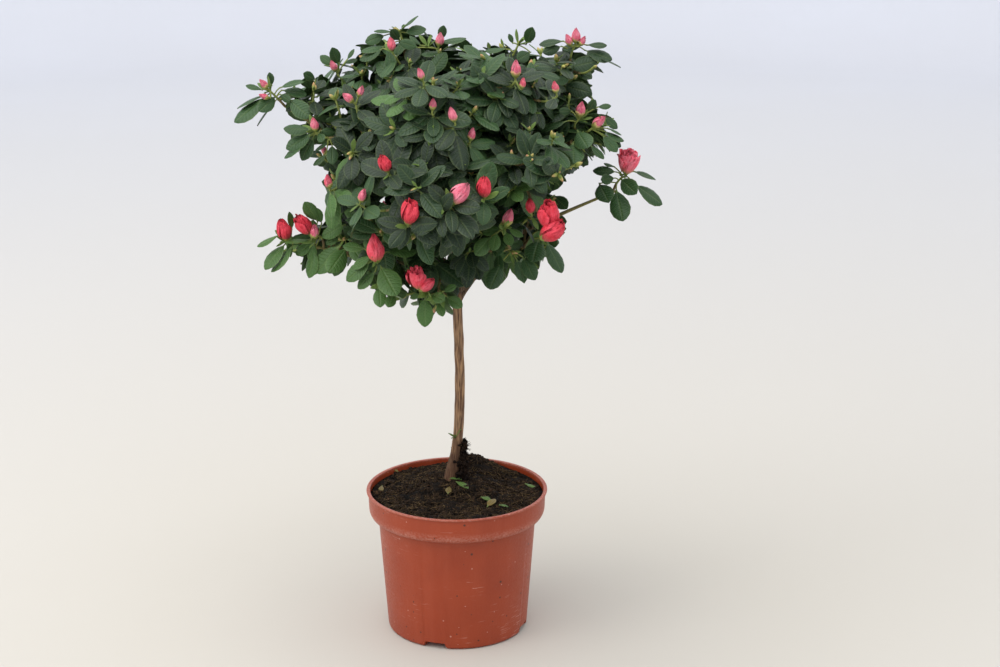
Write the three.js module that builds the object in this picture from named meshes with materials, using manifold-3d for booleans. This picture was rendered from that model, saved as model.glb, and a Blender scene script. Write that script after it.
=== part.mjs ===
// A potted rhododendron: an evergreen azalea grown as a small standard, with a bare trunk, a loose round
// crown of leaf rosettes and flower buds, and a filled plastic nursery pot.
// Millimetres, +Z up. The origin is the centre of the pot's flat underside; -Y is the front.
import * as THREE from 'three';
import { mergeVertices } from 'three/addons/utils/BufferGeometryUtils.js';
import Module from 'manifold-3d';

const wasm = await Module();
wasm.setup();

// Driving dimensions of the pot
const POT = {
  rimRadius: 85,
  height: 136,
  baseRadius: 65.8,
  wall: 1.8,
  floor: 2.5,
  lipHeight: 2,
  bandHeight: 24.1,
  bandStraight: 20.3,
  bandTopRadius: 83.2,
  bandShoulderRadius: 82.5,
  bandFootRadius: 80.2,
  bodyTopRadius: 74.1,
  baseBevel: 2.5,
  segments: 32,
};
const NOTCH = { count: 4, azimuth: -109, height: 6, footWidth: 23.5, headWidth: 18.5, depth: 12 };

// Driving dimensions of the compost that fills the pot
const SOIL = {
  gap: 0.3,
  edgeDrop: 5.5,
  bevel: 15,
  plateauRadius: 11,
  moundRadius: 46,
  heap: { x: 15, y: 56, height: 17, radius: 21 },
  rings: 6,
};

// Driving dimensions of the trunk: where it stands, how it leans and bows, and its thickness
const TRUNK = {
  ground: 140,
  foot: { x: -5.5, y: 12 },
  bend: { x: 1.2, y: 12, rise: 44 },
  bow: { x: 3.4, y: 10.5, rise: 92 },
  head: { x: 1.6, y: 5, rise: 172 },
  tip: { x: 0, y: 0, rise: 282 },
  footRadius: 6.2,
  stemRadius: 4.7,
  headRadius: 4.3,
  tipRadius: 2.3,
  flareHeight: 30,
  sides: 10,
  steps: 16,
};

// Boughs leave the trunk one above the other, each on from the last by an even step
const BOUGH = {
  lowestRoot: 312,
  rootStep: 4.6,
  rootRadius: 2.6,
  tipRadius: 2,
  archShare: 0.38,
  archRise: 12,
  archReach: 10,
  sides: 5,
  steps: 4,
  gap: 0.3,
  stemRoom: 5,
  shortestStem: 14,
};

// The masses of foliage, in the order in which their boughs leave the trunk from the lowest up: bearing from
// the trunk in degrees (0 to the right, -90 to the front), reach of the mass's middle from the origin's axis,
// its height, and its half width and half height
const MASSES = [
  { name: 'front_low', bearing: -104, reach: 76, height: 346, halfWidth: 44, halfHeight: 48 },
  { name: 'back_low_right', bearing: 48, reach: 96, height: 378, halfWidth: 58, halfHeight: 50 },
  { name: 'lower_left', bearing: -172, reach: 132, height: 376, halfWidth: 52, halfHeight: 42 },
  { name: 'lower_right', bearing: -15, reach: 64, height: 372, halfWidth: 44, halfHeight: 54 },
  { name: 'front_low_left', bearing: -136, reach: 104, height: 380, halfWidth: 50, halfHeight: 46 },
  { name: 'back_low_left', bearing: 128, reach: 98, height: 380, halfWidth: 58, halfHeight: 50 },
  { name: 'front_low_right', bearing: -58, reach: 90, height: 386, halfWidth: 48, halfHeight: 52 },
  { name: 'left_middle', bearing: -166, reach: 100, height: 436, halfWidth: 50, halfHeight: 46 },
  { name: 'right_spray', bearing: 0, reach: 146, height: 420, halfWidth: 46, halfHeight: 44 },
  { name: 'back_middle', bearing: 90, reach: 138, height: 432, halfWidth: 60, halfHeight: 52 },
  { name: 'front_middle', bearing: -98, reach: 138, height: 446, halfWidth: 56, halfHeight: 46 },
  { name: 'back_left', bearing: 145, reach: 122, height: 452, halfWidth: 56, halfHeight: 52 },
  { name: 'front_right', bearing: -55, reach: 126, height: 462, halfWidth: 54, halfHeight: 50 },
  { name: 'back_right', bearing: 35, reach: 116, height: 452, halfWidth: 56, halfHeight: 52 },
  { name: 'left_shoulder', bearing: -148, reach: 114, height: 482, halfWidth: 54, halfHeight: 46 },
  { name: 'right_upper', bearing: -14, reach: 116, height: 482, halfWidth: 46, halfHeight: 44 },
  { name: 'back_top', bearing: 95, reach: 84, height: 502, halfWidth: 60, halfHeight: 48 },
  { name: 'far_left', bearing: -176, reach: 150, height: 500, halfWidth: 48, halfHeight: 34 },
  { name: 'front_upper', bearing: -100, reach: 104, height: 506, halfWidth: 56, halfHeight: 46 },
  { name: 'right_tip', bearing: 5, reach: 104, height: 528, halfWidth: 50, halfHeight: 40 },
  { name: 'upper_left', bearing: 160, reach: 98, height: 512, halfWidth: 52, halfHeight: 40 },
  { name: 'front_top', bearing: -58, reach: 72, height: 524, halfWidth: 52, halfHeight: 44 },
  { name: 'top_left', bearing: 178, reach: 44, height: 538, halfWidth: 54, halfHeight: 40 },
  { name: 'top_right', bearing: 14, reach: 44, height: 528, halfWidth: 54, halfHeight: 44 },
];

// How a mass grows: its stem, its twigs, and the rosette of leaves round the bud that ends each twig
const GROWTH = {
  firstSeed: 4409,
  seedStep: 331,
  widthPerTwig: 14,
  rosetteShare: 0.56,
  outwardPull: 0.45,
  lowUpwardPull: 0.05,
  highUpwardPull: 0.7,
  twigRadius: 1.1,
  leaves: 8,
  leafLength: 48,
  leafLengthSpread: 6,
  leafWidthShare: 0.44,
  leafCrownShare: 0.14,
  leafDroop: 0.1,
  leanFromAxis: 62,
  leanSpread: 30,
  budRadius: 3.6,
  budLength: 10,
  bloomRadius: 8.5,
  bloomLength: 24,
  bloomShare: 0.14,
  clearOfLimbs: 0.9,
  clearOfNeighbours: 0.6,
};
const GOLDEN_ANGLE = Math.PI * (3 - Math.sqrt(5));

const COLOURS = {
  pot: { color: 0xa5492f, roughness: 0.55, metalness: 0 },
  soil: { color: 0x2a211b, roughness: 1, metalness: 0 },
  bark: { color: 0x7d5a40, roughness: 0.9, metalness: 0 },
  foliage: { color: 0x3d5940, roughness: 0.6, metalness: 0 },
};

const UP = new THREE.Vector3(0, 0, 1);
const vec = (x, y, z) => new THREE.Vector3(x, y, z);
const mix = (a, b, t) => a + (b - a) * t;
const clamp01 = (t) => Math.min(1, Math.max(0, t));
const smooth = (t) => clamp01(t) ** 2 * (3 - 2 * clamp01(t));
const radians = THREE.MathUtils.degToRad;

// A seeded run of numbers from 0 to 1, so that every build grows the same plant
function seededRandom(seed) {
  let state = seed;
  return () => {
    state = (state * 48271) % 2147483647;
    return state / 2147483647;
  };
}

// Solids: plain vertex and triangle lists, three.js geometries, and joined or cut bodies
function solidOfLists(points, triangles) {
  return new wasm.Manifold(
    new wasm.Mesh({
      numProp: 3,
      vertProperties: new Float32Array(points.flatMap((p) => [p.x, p.y, p.z])),
      triVerts: new Uint32Array(triangles.flat()),
    }),
  );
}

function solidOfGeometry(geometry) {
  const bare = geometry.clone();
  bare.deleteAttribute('normal');
  bare.deleteAttribute('uv');
  const merged = mergeVertices(bare, 1e-4);
  return new wasm.Manifold(
    new wasm.Mesh({
      numProp: 3,
      vertProperties: merged.attributes.position.array,
      triVerts: new Uint32Array(merged.index.array),
    }),
  );
}

// The outer skin of a solid's largest body: loose scraps go, and sealed hollows are filled
function largestBody(solid) {
  return solid.decompose().reduce((best, body) => (body.volume() > best.volume() ? body : best));
}

function meshOf(name, solid, look) {
  const data = solid.getMesh();
  const geometry = new THREE.BufferGeometry();
  geometry.setAttribute('position', new THREE.BufferAttribute(data.vertProperties, 3));
  geometry.setIndex(new THREE.BufferAttribute(data.triVerts, 1));
  geometry.computeVertexNormals();
  const mesh = new THREE.Mesh(geometry, new THREE.MeshStandardMaterial(look));
  mesh.name = name;
  return mesh;
}

// A limb: rings of a given radius carried along a line of points, with flat ends
function limbSolid(points, radii, sides, levelFoot = false) {
  const rings = [];
  const normal = vec(1, 0, 0);
  points.forEach((point, i) => {
    const ahead = points[Math.min(i + 1, points.length - 1)];
    const behind = points[Math.max(i - 1, 0)];
    const tangent = ahead.clone().sub(behind).normalize();
    if (i === 0 && Math.abs(tangent.x) > 0.9) normal.set(0, 1, 0);
    normal.addScaledVector(tangent, -normal.dot(tangent)).normalize();
    const side = tangent.clone().cross(normal);
    for (let j = 0; j < sides; j += 1) {
      const turn = (2 * Math.PI * j) / sides;
      const spoke = normal.clone().multiplyScalar(Math.cos(turn)).addScaledVector(side, Math.sin(turn));
      const corner = point.clone().addScaledVector(spoke, radii[i]);
      if (levelFoot && i === 0) corner.z = point.z;
      rings.push(corner);
    }
  });
  const triangles = [];
  const last = (points.length - 1) * sides;
  for (let i = 0; i < points.length - 1; i += 1) {
    for (let j = 0; j < sides; j += 1) {
      const a = i * sides + j;
      const b = i * sides + ((j + 1) % sides);
      triangles.push([a, b, b + sides], [a, b + sides, a + sides]);
    }
  }
  for (let j = 1; j < sides - 1; j += 1) {
    triangles.push([0, j + 1, j], [last, last + j, last + j + 1]);
  }
  return solidOfLists(rings, triangles);
}

// The pot: a turned shell with a stepped rim band, and drain notches cut through the foot of its wall
function potSolid() {
  const bandFoot = POT.height - POT.bandHeight;
  const shoulder = POT.height - POT.bandStraight;
  const outline = [
    [0, 0],
    [POT.baseRadius - POT.baseBevel, 0],
    [POT.baseRadius, POT.baseBevel],
    [POT.bodyTopRadius, bandFoot - 1],
    [POT.bandFootRadius, bandFoot],
    [POT.bandShoulderRadius, shoulder],
    [POT.bandTopRadius, POT.height - POT.lipHeight],
    [POT.rimRadius, POT.height - POT.lipHeight / 2],
    [POT.rimRadius - 0.5, POT.height],
    [POT.bandTopRadius - POT.wall, POT.height],
    [POT.bandShoulderRadius - POT.wall, shoulder],
    [POT.bodyTopRadius - POT.wall, bandFoot],
    [POT.baseRadius - POT.wall, POT.floor],
    [0, POT.floor],
  ];
  const shell = new THREE.LatheGeometry(outline.map(([r, z]) => new THREE.Vector2(r, z)), POT.segments);
  shell.rotateX(Math.PI / 2);
  let solid = solidOfGeometry(shell);
  for (let i = 0; i < NOTCH.count; i += 1) {
    solid = solid.subtract(notchCutter(NOTCH.azimuth + (360 * i) / NOTCH.count));
  }
  return solid;
}

// A notch's cutter: a trapezium carried outwards through the wall at one azimuth
function notchCutter(azimuth) {
  const below = 1;
  const flare = ((NOTCH.footWidth - NOTCH.headWidth) / NOTCH.height) * below;
  const foot = NOTCH.footWidth / 2 + flare / 2;
  const head = NOTCH.headWidth / 2;
  const outline = new THREE.Shape();
  outline.moveTo(-foot, -below);
  outline.lineTo(foot, -below);
  outline.lineTo(head, NOTCH.height);
  outline.lineTo(-head, NOTCH.height);
  outline.closePath();
  const length = NOTCH.depth + POT.wall;
  const cutter = new THREE.ExtrudeGeometry(outline, { depth: length, bevelEnabled: false, steps: 1 });
  cutter.rotateX(Math.PI / 2);
  cutter.translate(0, POT.baseRadius + POT.wall, 0);
  cutter.rotateZ(radians(azimuth - 90));
  return solidOfGeometry(cutter);
}

// How far above or below the rim's foot the compost lies: level round the trunk, mounded, and heaped behind it
function soilHeight(x, y) {
  const edge = POT.height - SOIL.edgeDrop;
  const fromTrunk = Math.hypot(x - TRUNK.foot.x, y - TRUNK.foot.y);
  const fall = smooth((fromTrunk - SOIL.plateauRadius) / SOIL.moundRadius);
  const mound = mix(TRUNK.ground - SOIL.gap, edge, fall);
  const fromHeap = Math.hypot(x - SOIL.heap.x, y - SOIL.heap.y) / SOIL.heap.radius;
  return mound + SOIL.heap.height * fall * Math.exp(-fromHeap * fromHeap);
}

// The compost: a turned plug that follows the pot's inside, with a heaped top
function soilSolid() {
  const bandFoot = POT.height - POT.bandHeight;
  const shoulder = POT.height - POT.bandStraight;
  const inside = POT.wall + SOIL.gap;
  const edge = POT.height - SOIL.edgeDrop;
  const bottom = POT.floor + SOIL.gap;
  const slope = (POT.bodyTopRadius - POT.baseRadius) / bandFoot;
  const edgeShare = (edge - shoulder) / POT.bandStraight;
  const edgeRadius = mix(POT.bandShoulderRadius, POT.bandTopRadius, edgeShare) - inside;
  const outline = [
    [0, bottom],
    [POT.baseRadius - inside - SOIL.bevel, bottom],
    [POT.baseRadius - inside + slope * SOIL.bevel, bottom + SOIL.bevel],
    [POT.bodyTopRadius - inside, bandFoot],
    [POT.bandShoulderRadius - inside, shoulder],
    [edgeRadius, edge],
  ];
  const firstTop = outline.length;
  for (let i = 1; i <= SOIL.rings; i += 1) outline.push([edgeRadius * (1 - i / SOIL.rings), edge]);
  const plug = new THREE.LatheGeometry(outline.map(([r, z]) => new THREE.Vector2(r, z)), POT.segments);
  plug.rotateX(Math.PI / 2);
  const place = plug.attributes.position;
  for (let i = 0; i < place.count; i += 1) {
    if (i % outline.length >= firstTop) place.setZ(i, soilHeight(place.getX(i), place.getY(i)));
  }
  return solidOfGeometry(plug);
}

// The trunk's centre line, from the flat cut at the compost through its lean and bow to its tip in the crown
const trunkLine = new THREE.CatmullRomCurve3(
  [{ ...TRUNK.foot, rise: 0 }, TRUNK.bend, TRUNK.bow, TRUNK.head, TRUNK.tip].map((p) =>
    vec(p.x, p.y, TRUNK.ground + p.rise),
  ),
);
const TRUNK_POINTS = trunkLine.getSpacedPoints(TRUNK.steps);

function trunkRadius(z) {
  const rise = z - TRUNK.ground;
  const flare = (TRUNK.footRadius - TRUNK.stemRadius) * (1 - smooth(rise / TRUNK.flareHeight));
  const stem = mix(TRUNK.stemRadius, TRUNK.headRadius, clamp01(rise / TRUNK.head.rise));
  const above = clamp01((rise - TRUNK.head.rise) / (TRUNK.tip.rise - TRUNK.head.rise));
  return mix(stem, TRUNK.tipRadius, above) + flare;
}

function trunkSolid(margin = 0) {
  const radii = TRUNK_POINTS.map((p) => trunkRadius(p.z) + margin);
  return limbSolid(TRUNK_POINTS, radii, TRUNK.sides, true);
}

function trunkPointAt(z) {
  const above = TRUNK_POINTS.findIndex((p) => p.z >= z);
  const [a, b] = [TRUNK_POINTS[above - 1], TRUNK_POINTS[above]];
  return a.clone().lerp(b, (z - a.z) / (b.z - a.z));
}

// Where a mass lies, and the arching line that its bough and then its own stem follow to its middle
function layOut(mass, index) {
  const turn = radians(mass.bearing);
  const middle = vec(mass.reach * Math.cos(turn), mass.reach * Math.sin(turn), mass.height);
  const root = trunkPointAt(BOUGH.lowestRoot + BOUGH.rootStep * index);
  const arch = root.clone().lerp(middle, BOUGH.archShare);
  arch.add(vec(BOUGH.archReach * Math.cos(turn), BOUGH.archReach * Math.sin(turn), BOUGH.archRise));
  const line = new THREE.QuadraticBezierCurve3(root, arch, middle);
  return { ...mass, middle, line, seed: GROWTH.firstSeed + GROWTH.seedStep * index };
}

const masses = MASSES.map(layOut);
masses.forEach((mass) => {
  mass.entry = entryShare(mass);
});

// The share of a mass's line at which it comes into the mass's own space for good
function entryShare(mass) {
  const steps = 60;
  let step = steps;
  while (step > 1 && holdsPoint(mass, mass.line.getPointAt((step - 1) / steps), BOUGH.stemRoom)) step -= 1;
  return Math.min(step / steps, 1 - BOUGH.shortestStem / mass.line.getLength());
}

function pointsAlong(line, from, to, steps) {
  return Array.from({ length: steps + 1 }, (_, i) => line.getPointAt(mix(from, to, i / steps)));
}

function boughSolid(mass, trunkRoom) {
  const points = pointsAlong(mass.line, 0, mass.entry, BOUGH.steps);
  const radii = points.map((_, i) => mix(BOUGH.rootRadius, BOUGH.tipRadius, i / BOUGH.steps));
  return largestBody(limbSolid(points, radii, BOUGH.sides).subtract(trunkRoom));
}

// Every limb as a run of balls, to keep twigs and leaves clear of them
const limbBalls = [
  ...trunkLine.getSpacedPoints(160).map((p) => ({ p, r: trunkRadius(p.z) })),
  ...masses.flatMap((m) =>
    pointsAlong(m.line, 0, m.entry, 90).map((p, i) => ({
      p,
      r: mix(BOUGH.rootRadius, BOUGH.tipRadius, i / 90),
    })),
  ),
];

// A mass's own space: its ellipsoid, on its side of the plane half way to each other mass
function holdsPoint(mass, point, margin) {
  const away = point.clone().sub(mass.middle);
  const share = Math.hypot(away.x / mass.halfWidth, away.y / mass.halfWidth, away.z / mass.halfHeight);
  if (share > 1) return false;
  return masses.every((other) => {
    if (other === mass) return true;
    const apart = other.middle.clone().sub(mass.middle);
    const halfWay = apart.length() / 2;
    return away.dot(apart) / (2 * halfWay) < halfWay - margin;
  });
}

function clearOfLimbs(triangles, thickness) {
  const nearest = vec(0, 0, 0);
  return limbBalls.every(({ p, r }) =>
    triangles.every((t) => t.closestPointToPoint(p, nearest).distanceTo(p) > r + thickness),
  );
}

// A leaf: six points round its outline and one on its midrib, which arches above the flat underside
function leafPoints(root, along, upper, length, width) {
  const across = upper.clone().cross(along).normalize();
  const at = (share, side, rise) =>
    root.clone().addScaledVector(along, share * length).addScaledVector(across, side * width)
      .addScaledVector(upper, rise * width - share * share * GROWTH.leafDroop * length);
  return [
    root.clone(),
    at(0.34, 0.38, 0),
    at(0.7, 0.5, 0),
    at(1, 0, 0),
    at(0.7, -0.5, 0),
    at(0.34, -0.38, 0),
    at(0.4, 0, GROWTH.leafCrownShare),
  ];
}
const LEAF_TOP = [[0, 6, 1], [6, 2, 1], [6, 3, 2], [0, 5, 6], [6, 5, 4], [6, 4, 3]];
const LEAF_UNDERSIDE = [[0, 1, 5], [1, 2, 5], [2, 4, 5], [2, 3, 4]];
const LEAF_FACES = [...LEAF_TOP, ...LEAF_UNDERSIDE];
const LEAF_EDGES = LEAF_FACES.flatMap(([a, b, c]) => [[a, b], [b, c], [c, a]]).filter(([a, b]) => a < b);

// Whether an edge of one leaf passes through a face of another
function pierces(leaf, other) {
  const hit = vec(0, 0, 0);
  return LEAF_EDGES.some(([i, j]) => {
    const ray = new THREE.Ray(leaf[i], leaf[j].clone().sub(leaf[i]).normalize());
    const length = leaf[i].distanceTo(leaf[j]);
    return LEAF_FACES.some(
      ([a, b, c]) =>
        ray.intersectTriangle(other[a], other[b], other[c], false, hit) && hit.distanceTo(leaf[i]) < length,
    );
  });
}

// A twig: three-sided, and swelling at its end into a tight bud
function twigSolid({ root, tip, axis }) {
  const waist = tip.clone().addScaledVector(axis, -0.4 * GROWTH.budLength);
  const end = tip.clone().addScaledVector(axis, GROWTH.budLength);
  const radii = [GROWTH.twigRadius, GROWTH.budRadius, 0.4 * GROWTH.twigRadius];
  return limbSolid([root, waist, end], radii, 3);
}

// A bud in bloom: a blunt cup that stands on a twig's end, its foot round the tight bud
function bloomSolid({ tip, axis }) {
  const line = [0.1, 0.5, 0.95].map((share) => tip.clone().addScaledVector(axis, share * GROWTH.bloomLength));
  return limbSolid(line, [0.3, 1, 0.6].map((share) => share * GROWTH.bloomRadius), 6);
}

// Two spokes at right angles to an axis and to each other
function framedBy(axis) {
  const first = Math.abs(axis.x) < 0.9 ? vec(1, 0, 0) : vec(0, 1, 0);
  first.addScaledVector(axis, -first.dot(axis)).normalize();
  return { first, second: axis.clone().cross(first) };
}

// A mass's twigs, by the golden angle round its stem: each with its path, its axis and whether it blooms
function growTwigs(mass, stem, random) {
  const spread = () => (random() - 0.5) * 0.6;
  const outward = vec(mass.middle.x, mass.middle.y, 0).normalize();
  const pull = GROWTH.outwardPull * Math.min(1, mass.reach / 120);
  const lift = mix(GROWTH.lowUpwardPull, GROWTH.highUpwardPull, clamp01((mass.height - 350) / 180));
  const turnOffset = random() * 2 * Math.PI;
  const count = Math.round(mass.halfWidth / GROWTH.widthPerTwig);
  const twigs = [];
  for (let i = 0; i < count; i += 1) {
    const rise = mix(1, -0.75, (i + 0.3) / count);
    const turn = turnOffset + i * GOLDEN_ANGLE;
    const level = Math.sqrt(1 - rise * rise);
    const aim = vec(level * Math.cos(turn), level * Math.sin(turn), rise);
    aim.addScaledVector(outward, pull).add(vec(spread(), spread(), spread())).normalize();
    const reach = vec(aim.x * mass.halfWidth, aim.y * mass.halfWidth, aim.z * mass.halfHeight);
    const tip = mass.middle.clone().addScaledVector(reach, GROWTH.rosetteShare);
    const root = stem[1].clone().lerp(stem[3], random());
    const axis = aim.clone().addScaledVector(outward, 0.3).addScaledVector(UP, lift).normalize();
    const bloomEnd = tip.clone().addScaledVector(axis, GROWTH.bloomLength);
    const bloom =
      random() < GROWTH.bloomShare &&
      holdsPoint(mass, bloomEnd, GROWTH.bloomRadius) &&
      clearOfLimbs([new THREE.Triangle(tip, bloomEnd, bloomEnd)], GROWTH.bloomRadius);
    const budEnd = tip.clone().addScaledVector(axis, GROWTH.budLength);
    const held = [tip, budEnd].every((p) => holdsPoint(mass, p, GROWTH.budRadius));
    const path = [new THREE.Triangle(root, tip, budEnd)];
    if (held && clearOfLimbs(path, GROWTH.budRadius + GROWTH.clearOfLimbs)) {
      twigs.push({ root, tip, axis, bloom });
    }
  }
  return twigs;
}

// A rosette: leaves by the golden angle round the bud, each cut back or left out where it would leave the
// mass's space, touch a limb or cross a leaf that is already there
function growRosette(mass, { tip, axis }, random, leaves) {
  const { first, second } = framedBy(axis);
  const offset = random() * 2 * Math.PI;
  for (let i = 0; i < GROWTH.leaves; i += 1) {
    const turn = offset + i * GOLDEN_ANGLE;
    const lean = radians(GROWTH.leanFromAxis + (i / GROWTH.leaves) * GROWTH.leanSpread);
    const spoke = first.clone().multiplyScalar(Math.cos(turn)).addScaledVector(second, Math.sin(turn));
    const along = axis.clone().multiplyScalar(Math.cos(lean)).addScaledVector(spoke, Math.sin(lean));
    const upper = axis.clone().multiplyScalar(Math.sin(lean)).addScaledVector(spoke, -Math.cos(lean));
    const root = tip.clone().addScaledVector(along, -GROWTH.twigRadius);
    const mouth = tip.clone().addScaledVector(along, GROWTH.budRadius);
    const full = GROWTH.leafLength + (random() * 2 - 1) * GROWTH.leafLengthSpread;
    for (const length of [full, 0.82 * full, 0.66 * full]) {
      const leaf = leafPoints(root, along, upper, length, GROWTH.leafWidthShare * length);
      const faces = LEAF_TOP.map(([a, b, c]) => new THREE.Triangle(leaf[a], leaf[b], leaf[c]));
      const shown = [mouth, ...leaf.slice(1)];
      const fits =
        leaf.slice(1).every((p) => holdsPoint(mass, p, GROWTH.clearOfNeighbours)) &&
        clearOfLimbs(faces, GROWTH.clearOfLimbs + 1) &&
        !leaves.some((other) => pierces(shown, other.shown) || pierces(other.shown, shown));
      if (!fits) continue;
      leaves.push({ leaf, shown });
      break;
    }
  }
}

// One mass: a stem on from its bough, its twigs, and a bud and a rosette on each twig's tip, fused together
function massSolid(mass) {
  const random = seededRandom(mass.seed);
  const stemStart = mass.entry + BOUGH.gap / mass.line.getLength();
  const stem = pointsAlong(mass.line, stemStart, 1, 3);
  const twigs = growTwigs(mass, stem, random);
  const leaves = [];
  twigs.forEach((twig) => growRosette(mass, twig, random, leaves));
  const pieces = [
    limbSolid(stem, Array(4).fill(BOUGH.tipRadius), 4),
    ...twigs.map(twigSolid),
    ...twigs.filter((twig) => twig.bloom).map(bloomSolid),
    ...leaves.map(({ leaf }) => solidOfLists(leaf, LEAF_FACES)),
  ];
  return largestBody(wasm.Manifold.union(pieces));
}

// The assembly
const plant = new THREE.Group();
plant.add(meshOf('pot', potSolid(), COLOURS.pot));
plant.add(meshOf('soil', soilSolid(), COLOURS.soil));
plant.add(meshOf('trunk', trunkSolid(), COLOURS.bark));
const trunkRoom = trunkSolid(BOUGH.gap);
for (const mass of masses) {
  plant.add(meshOf(`bough_${mass.name}`, boughSolid(mass, trunkRoom), COLOURS.bark));
  plant.add(meshOf(`foliage_${mass.name}`, massSolid(mass), COLOURS.foliage));
}

export default plant;
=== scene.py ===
import math

import bpy
import numpy as np
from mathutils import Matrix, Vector


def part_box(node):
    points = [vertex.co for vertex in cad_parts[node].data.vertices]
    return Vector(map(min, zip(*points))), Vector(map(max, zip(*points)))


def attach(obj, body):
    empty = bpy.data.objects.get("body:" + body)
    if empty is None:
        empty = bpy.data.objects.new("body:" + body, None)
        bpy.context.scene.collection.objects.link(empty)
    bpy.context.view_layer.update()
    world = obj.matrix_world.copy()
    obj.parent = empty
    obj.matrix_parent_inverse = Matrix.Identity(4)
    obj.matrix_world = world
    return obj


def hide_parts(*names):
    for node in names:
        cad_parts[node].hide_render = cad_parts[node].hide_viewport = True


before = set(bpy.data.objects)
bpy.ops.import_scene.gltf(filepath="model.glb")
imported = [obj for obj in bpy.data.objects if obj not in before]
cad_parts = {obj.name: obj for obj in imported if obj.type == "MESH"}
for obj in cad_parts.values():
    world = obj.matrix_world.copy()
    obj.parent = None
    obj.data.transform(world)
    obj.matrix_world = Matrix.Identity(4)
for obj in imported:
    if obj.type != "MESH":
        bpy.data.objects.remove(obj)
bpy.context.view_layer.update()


# Pot: a nursery pot of terracotta-coloured polypropylene, moulded in one shot. Its thin wall tapers so that
# pots nest, a stepped band stiffens the rim, and four drain notches are let into its foot.
POT_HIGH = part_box("pot")[1]
RIM_RADIUS = POT_HIGH.x
POT_HEIGHT = POT_HIGH.z
POT_WALL = 0.0018
POT_FLOOR = 0.0025
BASE_RADIUS = 0.0658
BODY_TOP_RADIUS = 0.0741
BAND_FOOT_RADIUS = 0.0802
BAND_SHOULDER_RADIUS = 0.0825
BAND_TOP_RADIUS = 0.0832
BAND_FOOT = POT_HEIGHT - 0.0241
BAND_SHOULDER = POT_HEIGHT - 0.0203
LIP_FOOT = POT_HEIGHT - 0.002
AXIS_HOLE = 0.0005
NOTCH_AZIMUTHS = np.radians(-109 + 90 * np.arange(4))
NOTCH_HEIGHT = 0.006
NOTCH_HEAD = 0.00925
NOTCH_FOOT = 0.01175
NOTCH_REACH = BASE_RADIUS - 0.012
NOTCH_INNER_REACH = NOTCH_REACH - 0.001
NOTCH_STEP = 0.0002
NOTCH_CEILING = 0.0012
POT_TURNS = 224
CREASE_ANGLE = math.radians(38)

# The pot's outline as radius, height and fillet; a fillet of nothing is a plain corner
POT_OUTLINE = [
    (AXIS_HOLE, 0, 0),
    (NOTCH_REACH - NOTCH_STEP, 0, 0),
    (NOTCH_REACH + NOTCH_STEP, 0, 0),
    (BASE_RADIUS, 0, 0.0034),
    (BODY_TOP_RADIUS, BAND_FOOT - 0.001, 0.0006),
    (BAND_FOOT_RADIUS, BAND_FOOT, 0.0013),
    (BAND_SHOULDER_RADIUS, BAND_SHOULDER, 0.0028),
    (BAND_TOP_RADIUS, LIP_FOOT, 0.0005),
    (RIM_RADIUS, POT_HEIGHT - 0.0012, 0.0005),
    (RIM_RADIUS - 0.0003, POT_HEIGHT, 0.0006),
    (BAND_TOP_RADIUS - POT_WALL, POT_HEIGHT, 0.0008),
    (BAND_SHOULDER_RADIUS - POT_WALL, BAND_SHOULDER, 0.0024),
    (BODY_TOP_RADIUS - POT_WALL, BAND_FOOT, 0.002),
    (BASE_RADIUS - POT_WALL, POT_FLOOR, 0.001),
    (NOTCH_INNER_REACH + NOTCH_STEP, POT_FLOOR, 0),
    (NOTCH_INNER_REACH - NOTCH_STEP, POT_FLOOR, 0),
    (AXIS_HOLE, POT_FLOOR, 0),
]


def smoothstep(t):
    """0 below 0, 1 above 1, and an even S-shaped rise between."""
    t = np.clip(t, 0, 1)
    return t * t * (3 - 2 * t)


def unit(vectors):
    """The vectors brought to a length of 1."""
    return vectors / np.linalg.norm(vectors, axis=-1, keepdims=True)


def rounded_outline(corners, arc_steps=5):
    """A line of (radius, height) through corners of (radius, height, fillet). A fillet is a quadratic curve
    that leaves one side at the fillet's distance from the corner and joins the next at the same."""
    points = np.array([corner[:2] for corner in corners], float)
    line = [points[:1]]
    for before, corner, after, (_, _, fillet) in zip(points, points[1:], points[2:], corners[1:]):
        t = np.linspace(0, 1, arc_steps if fillet else 1)[:, None]
        start = corner + fillet * unit(before - corner)
        end = corner + fillet * unit(after - corner)
        line.append((1 - t) ** 2 * start + 2 * t * (1 - t) * corner + t**2 * end)
    line.append(points[-1:])
    return np.concatenate(line)


def turned(outline, angles):
    """Rings of one turned body: every outline point of (radius, height) carried round the upright axis."""
    radius, height = outline[:, :1], outline[:, 1:]
    ring = [radius * np.cos(angles), radius * np.sin(angles), height + 0 * angles]
    return np.stack(ring, axis=-1)[None]


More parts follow.
